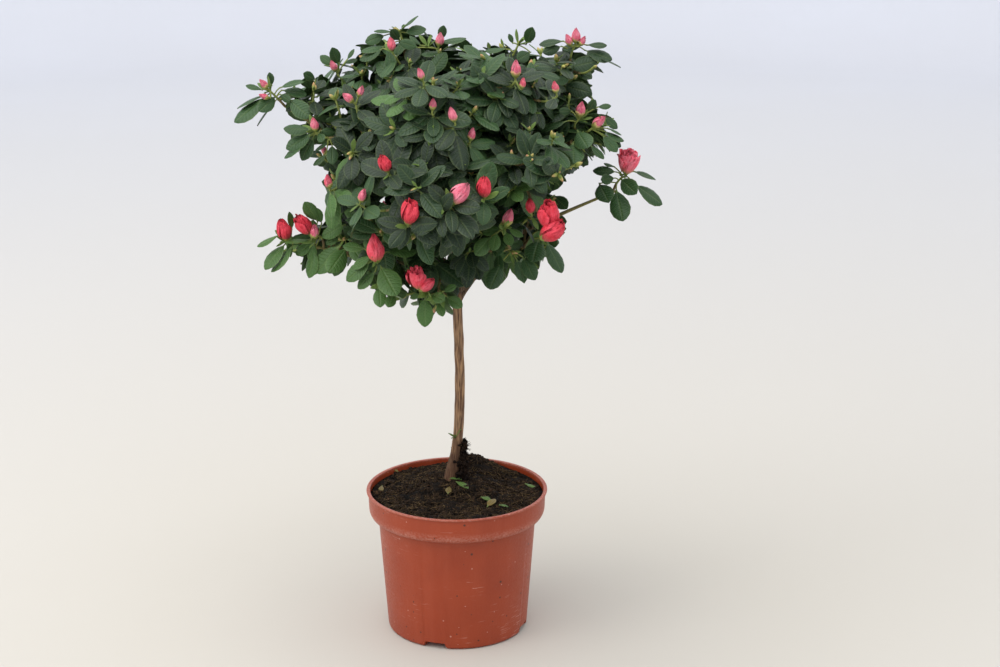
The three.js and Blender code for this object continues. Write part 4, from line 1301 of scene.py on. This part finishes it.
ROSETTE_STEP = 0.0012
ROSETTE_JITTER = 0.2
ROSETTE_LEAN = 46
ROSETTE_LEAN_GAIN = 46
ROSETTE_LEAN_SCATTER = 9
ROSETTE_WIDTHS = (0.42, 0.56)
FIRST_LENGTH_SHARE = 0.62
LENGTH_SHARE_GAIN = 0.42
SHOOT_SIZES = (0.88, 1.14)
LEAF_SIZES = (0.88, 1.1)
LOWER_SHARES = (0.45, 0.8)
LOWER_JITTER = 0.08
LOWER_LEANS = (62, 98)
LOWER_SIZES = (0.85, 1.12)
LOWER_WIDTHS = (0.4, 0.54)
YOUNG_LEANS = (18, 48)
YOUNG_LENGTHS = (0.006, 0.015)
YOUNG_WIDTH = 0.32
STALK_SHARE = 0.12


def blades(root, along, upper, length, width, droop, curl, twist):
    """Leaf blades as closed lofts. At the share s of a blade's length its half width goes as s to one power
    times the rest to another, so that it tapers to the stalk and rounds off at the tip. Its line sinks
    below its heading by the droop times the length and the square of s, and turns by the twist. Each half
    bulges as a parabola between the sunk midrib and the margin, which curls down with the square of the way
    across."""
    across = unit(np.cross(upper, along))
    share = np.clip(BLADE_STATIONS, 0, 1)
    peak = WIDEST_RISE / (WIDEST_RISE + WIDEST_FALL)
    form = (share / peak) ** WIDEST_RISE * ((1 - share) / (1 - peak)) ** WIDEST_FALL
    half = np.maximum(width[:, None] / 2 * form, STALK_HALF_WIDTH)
    on_blade = smoothstep(share / STALK_SHARE)
    travel = (BLADE_STATIONS - BLADE_STATIONS[0]) / (1 - BLADE_STATIONS[0])
    middle = root[:, None] + along[:, None] * (length[:, None] * travel)[..., None]
    middle = middle - upper[:, None] * (length[:, None] * droop[:, None] * share**2)[..., None]
    turn = (twist[:, None] * share)[..., None]
    side = across[:, None] * np.cos(turn) + upper[:, None] * np.sin(turn)
    lift = upper[:, None] * np.cos(turn) - across[:, None] * np.sin(turn)
    wide = np.abs(BLADE_ACROSS)
    bulge = 0.5 * wide * (1 - wide) - curl[:, None, None] * wide**2
    thin = STALK_HALF_WIDTH + (BLADE_HALF_THICKNESS - STALK_HALF_WIDTH) * on_blade[:, None]
    skin = BLADE_FACE * thin
    keel = np.where((BLADE_FACE < 0) & (wide == 0), -KEEL, 0)
    rise = half[..., None] * bulge * on_blade[:, None] + skin + keel
    spread = half[..., None] * BLADE_ACROSS
    return middle[:, :, None] + side[:, :, None] * spread[..., None] + lift[:, :, None] * rise[..., None]


def blade_values(tone):
    """What a blade's material reads at its corners: the way along and across, the underside, its tone."""
    along = np.clip(BLADE_STATIONS, 0, 1)[:, None]
    across = np.abs(BLADE_ACROSS)
    return {"along": along, "across": across, "under": BLADE_FACE < 0, "tone": tone[:, None, None]}


# Veins that every leaf finish shares: a midrib along the middle and side veins that lean towards the tip
veins_inputs = {"Along": "Float", "Across": "Float"}
veins, veins_in, veins_out = shared_effect("leaf_veins", veins_inputs, ("Midrib", "Side Veins"))
veins.links.new(reached(veins, veins_in.outputs["Across"], 0.02, 0.16, 1, 0), veins_out.inputs["Midrib"])
leaning = figured(veins, "MULTIPLY", veins_in.outputs["Across"], 0.16)
lean = figured(veins, "SUBTRACT", veins_in.outputs["Along"], leaning)
wave = figured(veins, "SINE", figured(veins, "MULTIPLY", lean, 56.0))
veins.links.new(reached(veins, wave, 0.55, 1.0), veins_out.inputs["Side Veins"])


def leaf_finish(name, upper_colour, under_colour, stalk_colour):
    """Leathery leaf: satin and dark above, matt and paler beneath, each leaf a tone of its own. The midrib
    and the side veins are sunk, and a little paler than the blade."""
    material, tree, place, broad, fine = new_finish(name, 60.0, 700.0)
    vein = add_node(tree, "Group", node_tree=veins)
    tree.links.new(read(tree, "along"), vein.inputs["Along"])
    tree.links.new(read(tree, "across"), vein.inputs["Across"])
    darker = (*[0.6 * c for c in upper_colour[:3]], 1)
    lighter = (*[1.45 * c for c in upper_colour[:3]], 1)
    shade = mixed(tree, reached(tree, read(tree, "tone"), 0, 1, 0, 0.7), upper_colour, darker)
    shade = mixed(tree, figured(tree, "MULTIPLY", figured(tree, "ADD", broad, fine), 0.24), shade, lighter)
    shade = mixed(tree, reached(tree, read(tree, "across"), 0.82, 1.0, 0, 0.2), shade, stalk_colour)
    shade = mixed(tree, figured(tree, "MULTIPLY", vein.outputs["Side Veins"], 0.035), shade, stalk_colour)
    shade = mixed(tree, figured(tree, "MULTIPLY", vein.outputs["Midrib"], 0.13), shade, stalk_colour)
    under = reached(tree, read(tree, "under"), 0.05, 0.5)
    shade = mixed(tree, under, shade, under_colour)
    shade = mixed(tree, reached(tree, read(tree, "along"), 0.0, 0.1, 0.8, 0), shade, stalk_colour)
    relief = figured(tree, "SUBTRACT", figured(tree, "MULTIPLY", fine, 0.35), vein.outputs["Side Veins"])
    relief = figured(tree, "SUBTRACT", relief, vein.outputs["Midrib"])
    dullness = figured(tree, "ADD", under, figured(tree, "MULTIPLY", fine, 0.4))
    roughness = reached(tree, dullness, 0, 1.4, 0.4, 0.75)
    normal = bumped(tree, relief, 0.6, 0.0006)
    close_finish(tree, shade, roughness, 0.36, normal)
    return material


LEAF_TINTS = {
    "deep": (paint(27, 46, 25), paint(62, 87, 51)),
    "dark": (paint(34, 58, 30), paint(68, 96, 54)),
    "plain": (paint(46, 75, 38), paint(77, 106, 58)),
    "fresh": (paint(68, 101, 46), paint(95, 122, 66)),
    "young": (paint(98, 124, 54), paint(120, 142, 74)),
    "shed": (paint(84, 112, 52), paint(104, 126, 70)),
    "fallen": (paint(112, 94, 44), paint(122, 106, 58)),
}
STALK_COLOUR = paint(128, 146, 84)


def framed(axis):
    """Two spokes square to an axis and to each other."""
    first = np.array([1.0, 0, 0]) if abs(axis[0]) < 0.9 else np.array([0, 1.0, 0])
    first = unit(first - first @ axis * axis)
    return first, np.cross(axis, first)


def squared(vectors, along):
    """The vectors without their share along others, brought to a length of 1."""
    return unit(vectors - np.sum(vectors * along, axis=1, keepdims=True) * along)


# How far leaves droop, curl and twist, from the least to the most: grown ones, and those seen one by one
GROWN_FORMS = ((0.02, 0.22), (-0.12, 0.22), (-0.35, 0.35))
SEEN_FORMS = ((0, 0.06), (-0.1, 0.2), (-0.25, 0.25))


def own_forms(random, count, droop, curl, twist):
    """What makes each leaf of a set its own: a droop, a curl and a twist in their ranges, and a tone."""
    ranges = {"droop": droop, "curl": curl, "twist": twist, "tone": (0, 1)}
    return {key: random.uniform(*limits, count) for key, limits in ranges.items()}


def leaf_set(random, root, axis, turn, lean, sag, length, width_share):
    """The arrays for a set of leaves round one axis: each leans from the axis by its own angle, in the
    direction of its own turn, sags under its weight, and turns its face to the axis and the light."""
    first, second = framed(axis)
    spoke = first * np.cos(turn)[:, None] + second * np.sin(turn)[:, None]
    sine, cosine = np.sin(lean)[:, None], np.cos(lean)[:, None]
    heading = axis * cosine + spoke * sine - sag * sine * UP
    along = unit(heading + HEADING_SCATTER * random.normal(size=spoke.shape))
    upper = axis * sine - spoke * cosine + LIGHT_PULL * UP + FACE_SCATTER * random.normal(size=spoke.shape)
    upper = squared(upper, along)
    leaf = {"root": root, "along": along, "upper": upper, "length": length, "width": length * width_share}
    return {**leaf, **own_forms(random, len(turn), *GROWN_FORMS)}


def shoot_leaves(random, shoot):
    """One shoot's leaves: a rosette by the golden angle round its tip, each leaf further down, longer and
    more spread than the last, and single leaves below. They sag more the lower the shoot is."""
    line, axis = shoot["line"], shoot["axis"]
    sag = np.interp(line[-1][2], SAG_HEIGHTS, [LOW_SAG, HIGH_SAG])
    size = np.interp(line[-1][2], SAG_HEIGHTS, [LOW_LEAF_LENGTH, LEAF_LENGTH]) * random.uniform(*SHOOT_SIZES)
    count = ROSETTE_LEAVES
    order = np.arange(count)
    step = np.clip((order + 0.5 + random.uniform(-ROSETTE_JITTER, ROSETTE_JITTER, count)) / count, 0, 1)
    turn = random.random() * 2 * math.pi + order * GOLDEN_ANGLE
    turn = turn + random.uniform(-ROSETTE_JITTER, ROSETTE_JITTER, count)
    scatter = random.uniform(-ROSETTE_LEAN_SCATTER, ROSETTE_LEAN_SCATTER, count)
    lean = np.radians(ROSETTE_LEAN + ROSETTE_LEAN_GAIN * step**0.8 + scatter)
    grown = FIRST_LENGTH_SHARE + LENGTH_SHARE_GAIN * np.sqrt(step)
    length = size * grown * random.uniform(*LEAF_SIZES, count)
    root = line[-1] - axis * (ROSETTE_STEP / 2 + ROSETTE_STEP * order)[:, None]
    width_share = random.uniform(*ROSETTE_WIDTHS, count)
    rosette = leaf_set(random, root, axis, turn, lean, sag, length, width_share)
    count = LOWER_LEAVES
    share = np.linspace(*LOWER_SHARES, count) + random.uniform(-LOWER_JITTER, LOWER_JITTER, count)
    root = evened(line, share)
    turn = random.random() * 2 * math.pi + np.arange(count) * GOLDEN_ANGLE
    lean = np.radians(random.uniform(*LOWER_LEANS, count))
    length = size * random.uniform(*LOWER_SIZES, count)
    width_share = random.uniform(*LOWER_WIDTHS, count)
    lower = leaf_set(random, root, axis, turn, lean, sag, length, width_share)
    return {key: np.concatenate([rosette[key], lower[key]]) for key in rosette}


def tip_leaves(random, tip, axis, count=YOUNG_LEAVES):
    """The small young leaves that stand round a tip."""
    turn = random.random() * 2 * math.pi + np.arange(count) * GOLDEN_ANGLE
    lean = np.radians(random.uniform(*YOUNG_LEANS, count))
    length = random.uniform(*YOUNG_LENGTHS, count)
    root = np.repeat(tip[None], count, axis=0)
    return leaf_set(random, root, axis, turn, lean, HIGH_SAG, length, np.full(count, YOUNG_WIDTH))


# A shed leaf's place above the compost, lean, width for its length, and how far it faces the camera
FALLEN_SEARCH_RISE = 0.006
FALLEN_RISE = 0.0022
FALLEN_LEAN = 86.0
FALLEN_WIDTH = 0.5
FALLEN_FACING = 0.25


def fallen_leaf(random, pixel, length):
    """A shed leaf that lies on the compost where the image shows one: along a level heading, face up."""
    sight = sight_line(pixel)
    place = CAMERA_PLACE + sight * (SOIL_EDGE + FALLEN_SEARCH_RISE - CAMERA_PLACE[2]) / sight[2]
    place[2] = soil_height(place[0], place[1]) + FALLEN_RISE
    turn = random.uniform(0, 2 * math.pi, 1)
    facing = unit(UP - FALLEN_FACING * FORWARD)
    lean = np.radians([FALLEN_LEAN])
    return leaf_set(random, place[None], facing, turn, lean, 0, np.array([length]), np.array([FALLEN_WIDTH]))


# How broad a leaf is for its length when it is seen full, and how far one leans to or from the camera
FULL_BREADTH = 0.52
SEEN_TILT = 0.25
WIDENING = 1.06
SEEN_DEPTH = 0.004


def seen_leaves(random, spray, tip):
    """The leaves of a spray that the image shows one by one, from each foot's pixel to its tip's, at the
    depth of the shoot's tip. One that looks narrow is turned on its own line, by the angle whose cosine is
    its breadth over the full breadth, and one that looks short for its breadth comes to the camera."""
    rows = np.array(SEEN_LEAVES[spray])
    count = len(rows)
    depth = (tip - CAMERA_PLACE) @ FORWARD + random.uniform(-SEEN_DEPTH, SEEN_DEPTH, count)
    root = placed(rows[:, :2], depth)
    end = placed(rows[:, 2:4], depth)
    breadth = rows[:, 4]
    seen = np.linalg.norm(end - root, axis=1)
    nearer = seen * np.sqrt(np.maximum((breadth / FULL_BREADTH) ** 2 - 1, 0))
    nearer = np.where(nearer > 0, nearer, random.uniform(-SEEN_TILT, SEEN_TILT, count) * seen)
    reach = end - nearer[:, None] * FORWARD - root
    length = np.linalg.norm(reach, axis=1)
    along = reach / length[:, None]
    above = unit(np.cross(along, FORWARD))
    above = above * np.where(above @ UP < 0, -1, 1)[:, None]
    facing = np.minimum(breadth / FULL_BREADTH, 1)[:, None]
    upper = above * np.sqrt(1 - facing**2) - facing * FORWARD
    upper = squared(upper, along)
    width = WIDENING * FULL_BREADTH * length
    leaf = {"root": root, "along": along, "upper": upper, "length": length, "width": width}
    return {**leaf, **own_forms(random, count, *SEEN_FORMS)}


def along_leaves(leaf, shares):
    """The points at shares of the length of each leaf of a set."""
    whole = leaf["along"] * leaf["length"][:, None]
    return leaf["root"][:, None] + np.array(shares)[:, None] * whole[:, None]


MARK_DEPTH = 0.004


def hides_seen(points, marks, radii):
    """Whether a row of points on a leaf comes between the camera and a mark that the image shows, within
    the mark's radius in pixels."""
    pixel, depth = seen_at(points)
    mark_pixel, mark_depth = seen_at(marks)
    over = np.linalg.norm(pixel[..., None, :] - mark_pixel, axis=-1) < radii
    return np.any(over & (depth[..., None] < mark_depth + MARK_DEPTH), axis=(1, 2))


# The chances of each tint on the high sprays and on the low ones, and the heights where one gives way
GROWN_TINTS = ("deep", "dark", "plain", "fresh")
HIGH_CHANCES = np.array([0.38, 0.36, 0.23, 0.03])
LOW_CHANCES = np.array([0.0, 0.16, 0.42, 0.42])
FRESHER_BELOW = 0.44
FRESHER_OVER = 0.09


def tint_of(random, shoot):
    """A spray's tint: mostly dark, fresher on the low and shaded sprays, where the leaves are softer."""
    low = smoothstep((FRESHER_BELOW - shoot["line"][-1][2]) / FRESHER_OVER)
    chances = HIGH_CHANCES * (1 - low) + LOW_CHANCES * low
    return GROWN_TINTS[np.searchsorted(np.cumsum(chances)[:-1], random.random())]


FALLEN_LEAVES = {
    "by_trunk": (456, 487, 0.015, "shed"),
    "by_trunk_right": (462, 485, 0.014, "shed"),
    "right_of_trunk": (481, 495, 0.011, "shed"),
    "right_edge": (525, 480, 0.013, "shed"),
    "front": (448, 495, 0.013, "fallen"),
    "front_right": (487, 503, 0.015, "fallen"),
    "front_right_end": (499, 501, 0.009, "shed"),
    "left_edge": (382, 482, 0.011, "fallen"),
    "back_left": (398, 468, 0.009, "fallen"),
}
SPRIG_RISE = 0.041
SPRIG_REACH = 0.0042
SPRIG_LEAVES = 5
MARK_PIXELS = 7
FLOWER_PIXELS = 13
MARK_SHARES = (0.35, 0.6, 0.85)
LEAF_SHARES = (0.3, 0.55, 0.8)
LEAF_ROOM = 0.002
SPRAY_YOUNG_LEAVES = 4
LEAF_STALK_STATIONS = 5
LEAF_STALK_RADIUS = 0.0006
STALK_BOW = 0.0015
STALK_OVERLAP = 0.001

foliage = np.random.default_rng(2029)
sprays = {tint: [] for tint in LEAF_TINTS}
seen_sprays = {tint: [] for tint in LEAF_TINTS}
leaf_stalks = []
green_wood = shoot_lines[:, GREEN_FROM:].reshape(-1, 3)
for shoot in shoots:
    if "spray" in shoot:
        tip = SPRAY_TIPS[shoot["spray"]]
        leaf = seen_leaves(foliage, shoot["spray"], tip)
        seen_sprays[SEEN_SPRAYS[shoot["spray"]][4]].append(leaf)
        seen_sprays["young"].append(tip_leaves(foliage, tip, shoot["axis"], SPRAY_YOUNG_LEAVES))
        gap = np.linalg.norm(leaf["root"][:, None] - green_wood, axis=-1)
        fork = green_wood[gap.argmin(axis=1)]
        bow = (fork + leaf["root"]) / 2 + STALK_BOW * UP
        end = leaf["root"] + STALK_OVERLAP * leaf["along"]
        leaf_stalks.append(bent(fork, bow, end, LEAF_STALK_STATIONS))
    else:
        sprays[tint_of(foliage, shoot)].append(shoot_leaves(foliage, shoot))
        sprays["young"].append(tip_leaves(foliage, shoot["line"][-1], shoot["axis"]))
for pixel_u, pixel_v, length, tint in FALLEN_LEAVES.values():
    seen_sprays[tint].append(fallen_leaf(foliage, (pixel_u, pixel_v), length))

# A small sprig of young leaves grows from the trunk, low on its left
sprig_foot = trunk_line[np.argmin(np.abs(trunk_line[:, 2] - GROUND - SPRIG_RISE))]
sprig_axis = unit(UP - 0.25 * RIGHTWARD - 0.6 * FORWARD)
sprig_tip = sprig_foot - SPRIG_REACH * unit(0.45 * RIGHTWARD + FORWARD)
seen_sprays["young"].append(tip_leaves(foliage, sprig_tip, sprig_axis, SPRIG_LEAVES))

leaf_stalks = np.concatenate(leaf_stalks)
stalk_radii = np.full((len(leaf_stalks), LEAF_STALK_STATIONS, 1), LEAF_STALK_RADIUS)
stalks = lofted("leaf_stalks", tubes(leaf_stalks, stalk_radii, SHOOT_CORNERS), green_stem)
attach(stalks, "root")

# What the image shows whole: no other leaf comes before these
seen_flowers = [flower for flower in flowers if "pixel" in flower]
marks = [flower["foot"] + 0.5 * flower["length"] * flower["axis"] for flower in seen_flowers]
mark_radii = [FLOWER_PIXELS] * len(marks)
for leaf in sum(seen_sprays.values(), []):
    marks += list(along_leaves(leaf, MARK_SHARES).reshape(-1, 3))
    mark_radii += [MARK_PIXELS] * (len(MARK_SHARES) * len(leaf["length"]))
marks, mark_radii = np.array(marks), np.array(mark_radii)

for tint, (upper_colour, under_colour) in LEAF_TINTS.items():
    sets = []
    for spray in sprays[tint]:
        points = along_leaves(spray, LEAF_SHARES)
        kept = ~hides_seen(points, marks, mark_radii) & ~np.any(in_the_open(points), axis=1)
        if tint != "young":
            kept &= clear_of_limbs(points[:, 1:], LEAF_ROOM)
        sets.append({key: value[kept] for key, value in spray.items()})
    sets += seen_sprays[tint]
    leaf = {key: np.concatenate([spray[key] for spray in sets]) for key in sets[0]}
    tone = leaf.pop("tone")
    rings = blades(**leaf)
    finish = leaf_finish(f"leaf_{tint}", upper_colour, under_colour, STALK_COLOUR)
    leaves = lofted(f"leaves_{tint}", rings, finish, blade_values(tone), BLADE_MARGINS)
    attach(leaves, "root")


# Flowers and buds: each is overlapping petals wrapped round one axis, tight and pink in the bud, coral or
# red and loosening as it opens. They stand on the shoots' tips in a cup of green scales.
PETAL_STATIONS = np.linspace(0, 1, 9)
PETAL_ACROSS = np.concatenate([np.linspace(-1, 1, 9), np.linspace(0.75, -0.75, 7)])
PETAL_FACE = np.array([0, 1, 1, 1, 1, 1, 1, 1, 0, -1, -1, -1, -1, -1, -1, -1])
PETAL_MARGINS = (0, 8)
PETAL_HALF_THICKNESS = 0.0002
PETALS_IN_BUD = 5
PETALS_IN_FLOWER = 8
OPEN_PETALS = 8
BUD_SLIMNESS = 0.275
CUP_CORNERS = 8
CUP_STATIONS = 6
CUP_SINK = 0.1
STALK_STATIONS = 5
STALK_SINK = 0.06
BUD_RADII = (0.0009, 0.0021)
BUD_SINK = 0.0008
BUD_COUNTS = (1, 4)
BUD_SCATTER = 0.4
BUD_LENGTHS = (4, 5.5)
BUD_SHOWN = 0.98

# The cup of green scales: its radius and length for a flower's length, the share that is there, its jag
BUD_CUP = (0.3, 1.0, 0.31, 0.12)
FLOWER_CUP = (0.2, 0.5, 0.55, 0.25)


def petals(random, foot, axis, length, openness):
    """One flower's petals as closed lofts. A petal lies on a body of revolution round the axis: its radius
    swells and closes as a sine along the way s, and opens with the openness times a power of s, each petal
    by its own share. It spans an arc that narrows to its tip, one margin tucked under its neighbour, its
    edge ruffled by sines across the petal."""
    first, second = framed(axis)
    count = PETALS_IN_BUD if openness == 0 else PETALS_IN_FLOWER + round(OPEN_PETALS * openness)
    share = PETAL_STATIONS[None, :, None]
    order = np.arange(count)[:, None, None]
    outer = (order + 1) / count
    phase = random.uniform(0, 2 * np.pi, (count, 1, 1))
    loose = openness * random.uniform(0.55, 1.3, (count, 1, 1))
    way = 0.07 + (0.92 - 0.42 * openness**2) * share
    swell = np.sin(np.pi * way ** (0.8 + 0.2 * openness)) ** (0.72 - 0.26 * openness)
    nested = 0.55 - 0.35 * openness
    radius = (BUD_SLIMNESS + 0.09 * openness) * length * swell * (nested + (1 - nested) * outer)
    radius = radius + loose * length * 0.2 * share**2 * outer
    fold = np.sin(4.5 * PETAL_ACROSS + phase) * share + 0.6 * np.sin(8 * PETAL_ACROSS - phase) * share**3
    radius = radius * (1 + 0.1 * PETAL_ACROSS) + (0.008 + 0.05 * openness) * length * fold
    radius = np.maximum(radius + PETAL_FACE * PETAL_HALF_THICKNESS, 0.0001)
    uneven = (0.02 + 0.07 * openness) * random.uniform(-1, 1, (count, 1, 1))
    height = length * share * (0.9 + 0.05 * (1 - outer) + uneven)
    height = height - length * share**2 * ((0.2 - 0.1 * openness) * PETAL_ACROSS**2 + 0.25 * loose * outer)
    height = height + openness * length * 0.04 * np.sin(6 * PETAL_ACROSS + 2 * phase) * share**3
    span = (1.3 - 0.45 * openness) * (1 - (0.4 - 0.35 * openness) * share**4) * (0.75 + 0.25 * outer)
    angle = random.random() * 2 * np.pi + order * GOLDEN_ANGLE + span * PETAL_ACROSS + 0.5 * share
    spoke = first * np.cos(angle)[..., None] + second * np.sin(angle)[..., None]
    return foot + spoke * radius[..., None] + axis * height[..., None]


def cup(foot, axis, radius, length, shown, jag=0.0):
    """A small round bud or cup on an axis: an ovoid whose radius goes as a sine along it, cut off at the
    shown share of its length, where every other corner stands up by the jag."""
    first, second = framed(axis)
    share = np.linspace(0.02, shown, CUP_STATIONS)[:, None]
    turn = 2 * np.pi * np.arange(CUP_CORNERS) / CUP_CORNERS
    swell = radius * np.sin(np.pi * (0.1 + 0.88 * share)) ** 0.8
    spoke = first * np.cos(turn)[:, None] + second * np.sin(turn)[:, None]
    peaks = jag * (share / shown) ** 4 * (np.arange(CUP_CORNERS) % 2)
    return foot + spoke * (swell + 0 * turn)[..., None] + axis * (length * (share + peaks))[..., None]


def petal_finish(name, body, edge, foot_colour):
    """Silky petal: it pales to the margin and to a greenish foot, and is crinkled along its length,
    with painted shade in the creases of the crinkles and painted highlight on their ridges.
    """
    material, tree, place, broad, fine = new_finish(name, 160.0, 900.0)
    petal_place = add_node(tree, "CombineXYZ", {0: read(tree, "along"), 1: read(tree, "across"), 2: broad})
    crinkle_and_painted_light = drawn_out(tree, petal_place.outputs[0], (2, 6, 2), 3.0)
    margin = reached(tree, fine, 0.2, 1.0)
    # The body's colour darkened and reddened: painted shade for the crinkles' creases
    shaded = (0.62 * body[0], 0.26 * body[1], 0.32 * body[2], 1)
    colour = mixed(tree, reached(tree, broad, 0, 1, 0, 0.5), body, edge)
    # Painted shade in the crinkles' creases
    colour = mixed(tree, reached(tree, crinkle_and_painted_light, 0.52, 0.68, 0, 0.6), colour, shaded)
    # Painted highlight, in the margin's paler colour, on the crinkles' ridges
    colour = mixed(tree, reached(tree, crinkle_and_painted_light, 0.3, 0.47, 0.65, 0), colour, edge)
    colour = mixed(tree, reached(tree, read(tree, "across"), 0.6, 1.0, 0, 0.5), colour, edge)
    colour = mixed(tree, reached(tree, read(tree, "along"), 0.08, 0.34, 0.8, 0), colour, foot_colour)
    colour = mixed(tree, figured(tree, "MULTIPLY", margin, 0.2), colour, edge)
    roughness = reached(tree, fine, 0, 1, 0.45, 0.6)
    normal = bumped(tree, crinkle_and_painted_light, 1.0, 0.003)
    close_finish(tree, colour, roughness, 0.35, normal)
    return material


def bud_finish():
    """Bud scales: pale yellow-green, clouded with brown, some pink at the tip."""
    material, tree, place, broad, fine = new_finish("bud_scale", 140.0, 900.0)
    along = read(tree, "along")
    colour = mixed(tree, reached(tree, along, 0.3, 1), paint(124, 140, 62), paint(178, 178, 98))
    flushed = figured(tree, "MULTIPLY", reached(tree, along, 0.6, 1), broad)
    colour = mixed(tree, flushed, colour, paint(214, 128, 120))
    colour = mixed(tree, figured(tree, "MULTIPLY", fine, 0.25), colour, paint(120, 108, 56))
    normal = bumped(tree, fine, 0.3, 0.0003)
    close_finish(tree, colour, 0.6, 0.35, normal)
    return material


# Each tint: the body's colour, the margin's paler colour, which is also painted as highlight on the crinkles'
# ridges, and the foot's colour
PETAL_TINTS = {
    "red": (paint(212, 30, 50), paint(250, 86, 104), paint(176, 86, 74)),
    "coral": (paint(255, 90, 114), paint(255, 148, 164), paint(220, 156, 124)),
    "rose": (paint(246, 58, 80), paint(255, 118, 134), paint(214, 128, 96)),
    "pink": (paint(246, 98, 128), paint(255, 164, 180), paint(208, 176, 112)),
}
blossom = np.random.default_rng(613)
wrapped = {tint: [] for tint in PETAL_TINTS}
cups = []
stalk_lines = []
for flower in flowers:
    foot, axis, length = flower["foot"], flower["axis"], flower["length"]
    wrapped[flower["tint"]].append(petals(blossom, foot, axis, length, flower["openness"]))
    wide, long, shown, jag = BUD_CUP if flower["openness"] == 0 else FLOWER_CUP
    cups.append(cup(foot - CUP_SINK * length * axis, axis, wide * length, long * length, shown, jag))
    stalk_root = flower["shoot"]["line"][-1]
    stalk_end = foot - STALK_SINK * length * axis
    stalk_bow = stalk_end - 0.5 * np.linalg.norm(stalk_end - stalk_root) * axis
    stalk_lines.append(bent(stalk_root[None], stalk_bow[None], stalk_end[None], STALK_STATIONS)[0])
for shoot in shoots:
    if "flowers" not in shoot:
        foot = shoot["line"][-1] - BUD_SINK * shoot["axis"]
        for _ in range(blossom.integers(*BUD_COUNTS)):
            bud_axis = unit(shoot["axis"] + BUD_SCATTER * blossom.normal(size=3))
            radius = blossom.uniform(*BUD_RADII)
            cups.append(cup(foot, bud_axis, radius, radius * blossom.uniform(*BUD_LENGTHS), BUD_SHOWN))
petal_values = {"along": PETAL_STATIONS[:, None], "across": np.abs(PETAL_ACROSS)}
for tint, colours in PETAL_TINTS.items():
    finish = petal_finish(f"petal_{tint}", *colours)
    petal_piece = lofted(f"petals_{tint}", np.concatenate(wrapped[tint]), finish, petal_values, PETAL_MARGINS)
    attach(petal_piece, "root")
buds = lofted("bud_scales", np.array(cups), bud_finish(), {"along": np.linspace(0, 1, CUP_STATIONS)[:, None]})
stalk_radii = np.full((len(flowers), STALK_STATIONS, 1), SHOOT_TIP_RADIUS)
stalk_rings = tubes(np.array(stalk_lines), stalk_radii, SHOOT_CORNERS)
stalks = lofted("flower_stalks", stalk_rings, green_stem)
for green_piece in (buds, stalks):
    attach(green_piece, "root")


# Studio: a pale floor of painted board that sweeps up all round without a seam. One broad soft light hangs
# over it, a smaller one fills from the left, and the sky is an even white.
STAGE_FLAT = 3.4
STAGE_SWEEP = 0.8
STAGE_HEIGHT = 1.8
STAGE_THICKNESS = 0.05
STAGE_TURNS = 96
SWEEP_STEPS = 14
SENSOR_WIDTH = 36


def stage_finish():
    """Painted studio floor: warm white underfoot, cool white further off, faintly clouded."""
    material, tree, place, broad, fine = new_finish("studio_white", 1.6, 24.0)
    distance = add_node(tree, "VectorMath", {0: place}, operation="LENGTH").outputs["Value"]
    colour = mixed(tree, reached(tree, distance, 0.3, 4.0), paint(192, 187, 178), paint(219, 221, 229))
    colour = mixed(tree, figured(tree, "MULTIPLY", broad, 0.12), colour, paint(200, 197, 192))
    normal = bumped(tree, fine, 0.02, 0.001)
    close_finish(tree, colour, 0.8, 0.2, normal)
    return material


sweep = np.linspace(0, math.pi / 2, SWEEP_STEPS)
stage_outline = np.concatenate(
    [
        [[AXIS_HOLE, 0]],
        [[STAGE_FLAT / 2, 0]],
        np.stack([STAGE_FLAT + STAGE_SWEEP * np.sin(sweep), STAGE_SWEEP * (1 - np.cos(sweep))], axis=-1),
        [[STAGE_FLAT + STAGE_SWEEP, STAGE_HEIGHT]],
        [[STAGE_FLAT + STAGE_SWEEP + STAGE_THICKNESS, STAGE_HEIGHT]],
        [[STAGE_FLAT + STAGE_SWEEP + STAGE_THICKNESS, -STAGE_THICKNESS]],
        [[AXIS_HOLE, -STAGE_THICKNESS]],
    ]
)
stage_turns = 2 * np.pi * np.arange(STAGE_TURNS) / STAGE_TURNS
floor = lofted("studio_floor", turned(stage_outline[::-1], stage_turns), stage_finish())
floor.data.set_sharp_from_angle(angle=CREASE_ANGLE)


def soft_light(name, place, target, size, power, colour):
    """A square soft light that faces a target."""
    lamp = bpy.data.lights.new(name, "AREA")
    lamp.size = size
    lamp.energy = power
    lamp.color = colour
    holder = bpy.data.objects.new(name, lamp)
    bpy.context.scene.collection.objects.link(holder)
    holder.location = place
    facing = Vector(target) - Vector(place)
    holder.rotation_euler = facing.to_track_quat("-Z", "Y").to_euler()
    holder.visible_camera = False


soft_light("overhead", (-0.5, -0.4, 2.4), (0, 0, 0.3), 2.2, 34, (1, 0.98, 0.96))
soft_light("left_fill", (-2.6, -1.4, 2.0), (0, 0, 0.3), 1.6, 25, (1, 0.98, 0.95))

sky = bpy.data.worlds.new("studio_sky")
sky.use_nodes = True
sky.node_tree.nodes["Background"].inputs["Color"].default_value = (0.96, 0.98, 1, 1)
sky.node_tree.nodes["Background"].inputs["Strength"].default_value = 1.2
bpy.context.scene.world = sky
bpy.context.scene.view_settings.view_transform = "Standard"

camera_data = bpy.data.cameras.new("camera")
camera_data.sensor_width = SENSOR_WIDTH
camera_data.lens = SENSOR_WIDTH * FOCAL_PIXELS / IMAGE_SIZE[0]
camera = bpy.data.objects.new("camera", camera_data)
bpy.context.scene.collection.objects.link(camera)
camera.location = CAMERA_PLACE
camera.rotation_euler = (math.pi / 2 - CAMERA_PITCH, 0, -CAMERA_YAW)
bpy.context.scene.camera = camera
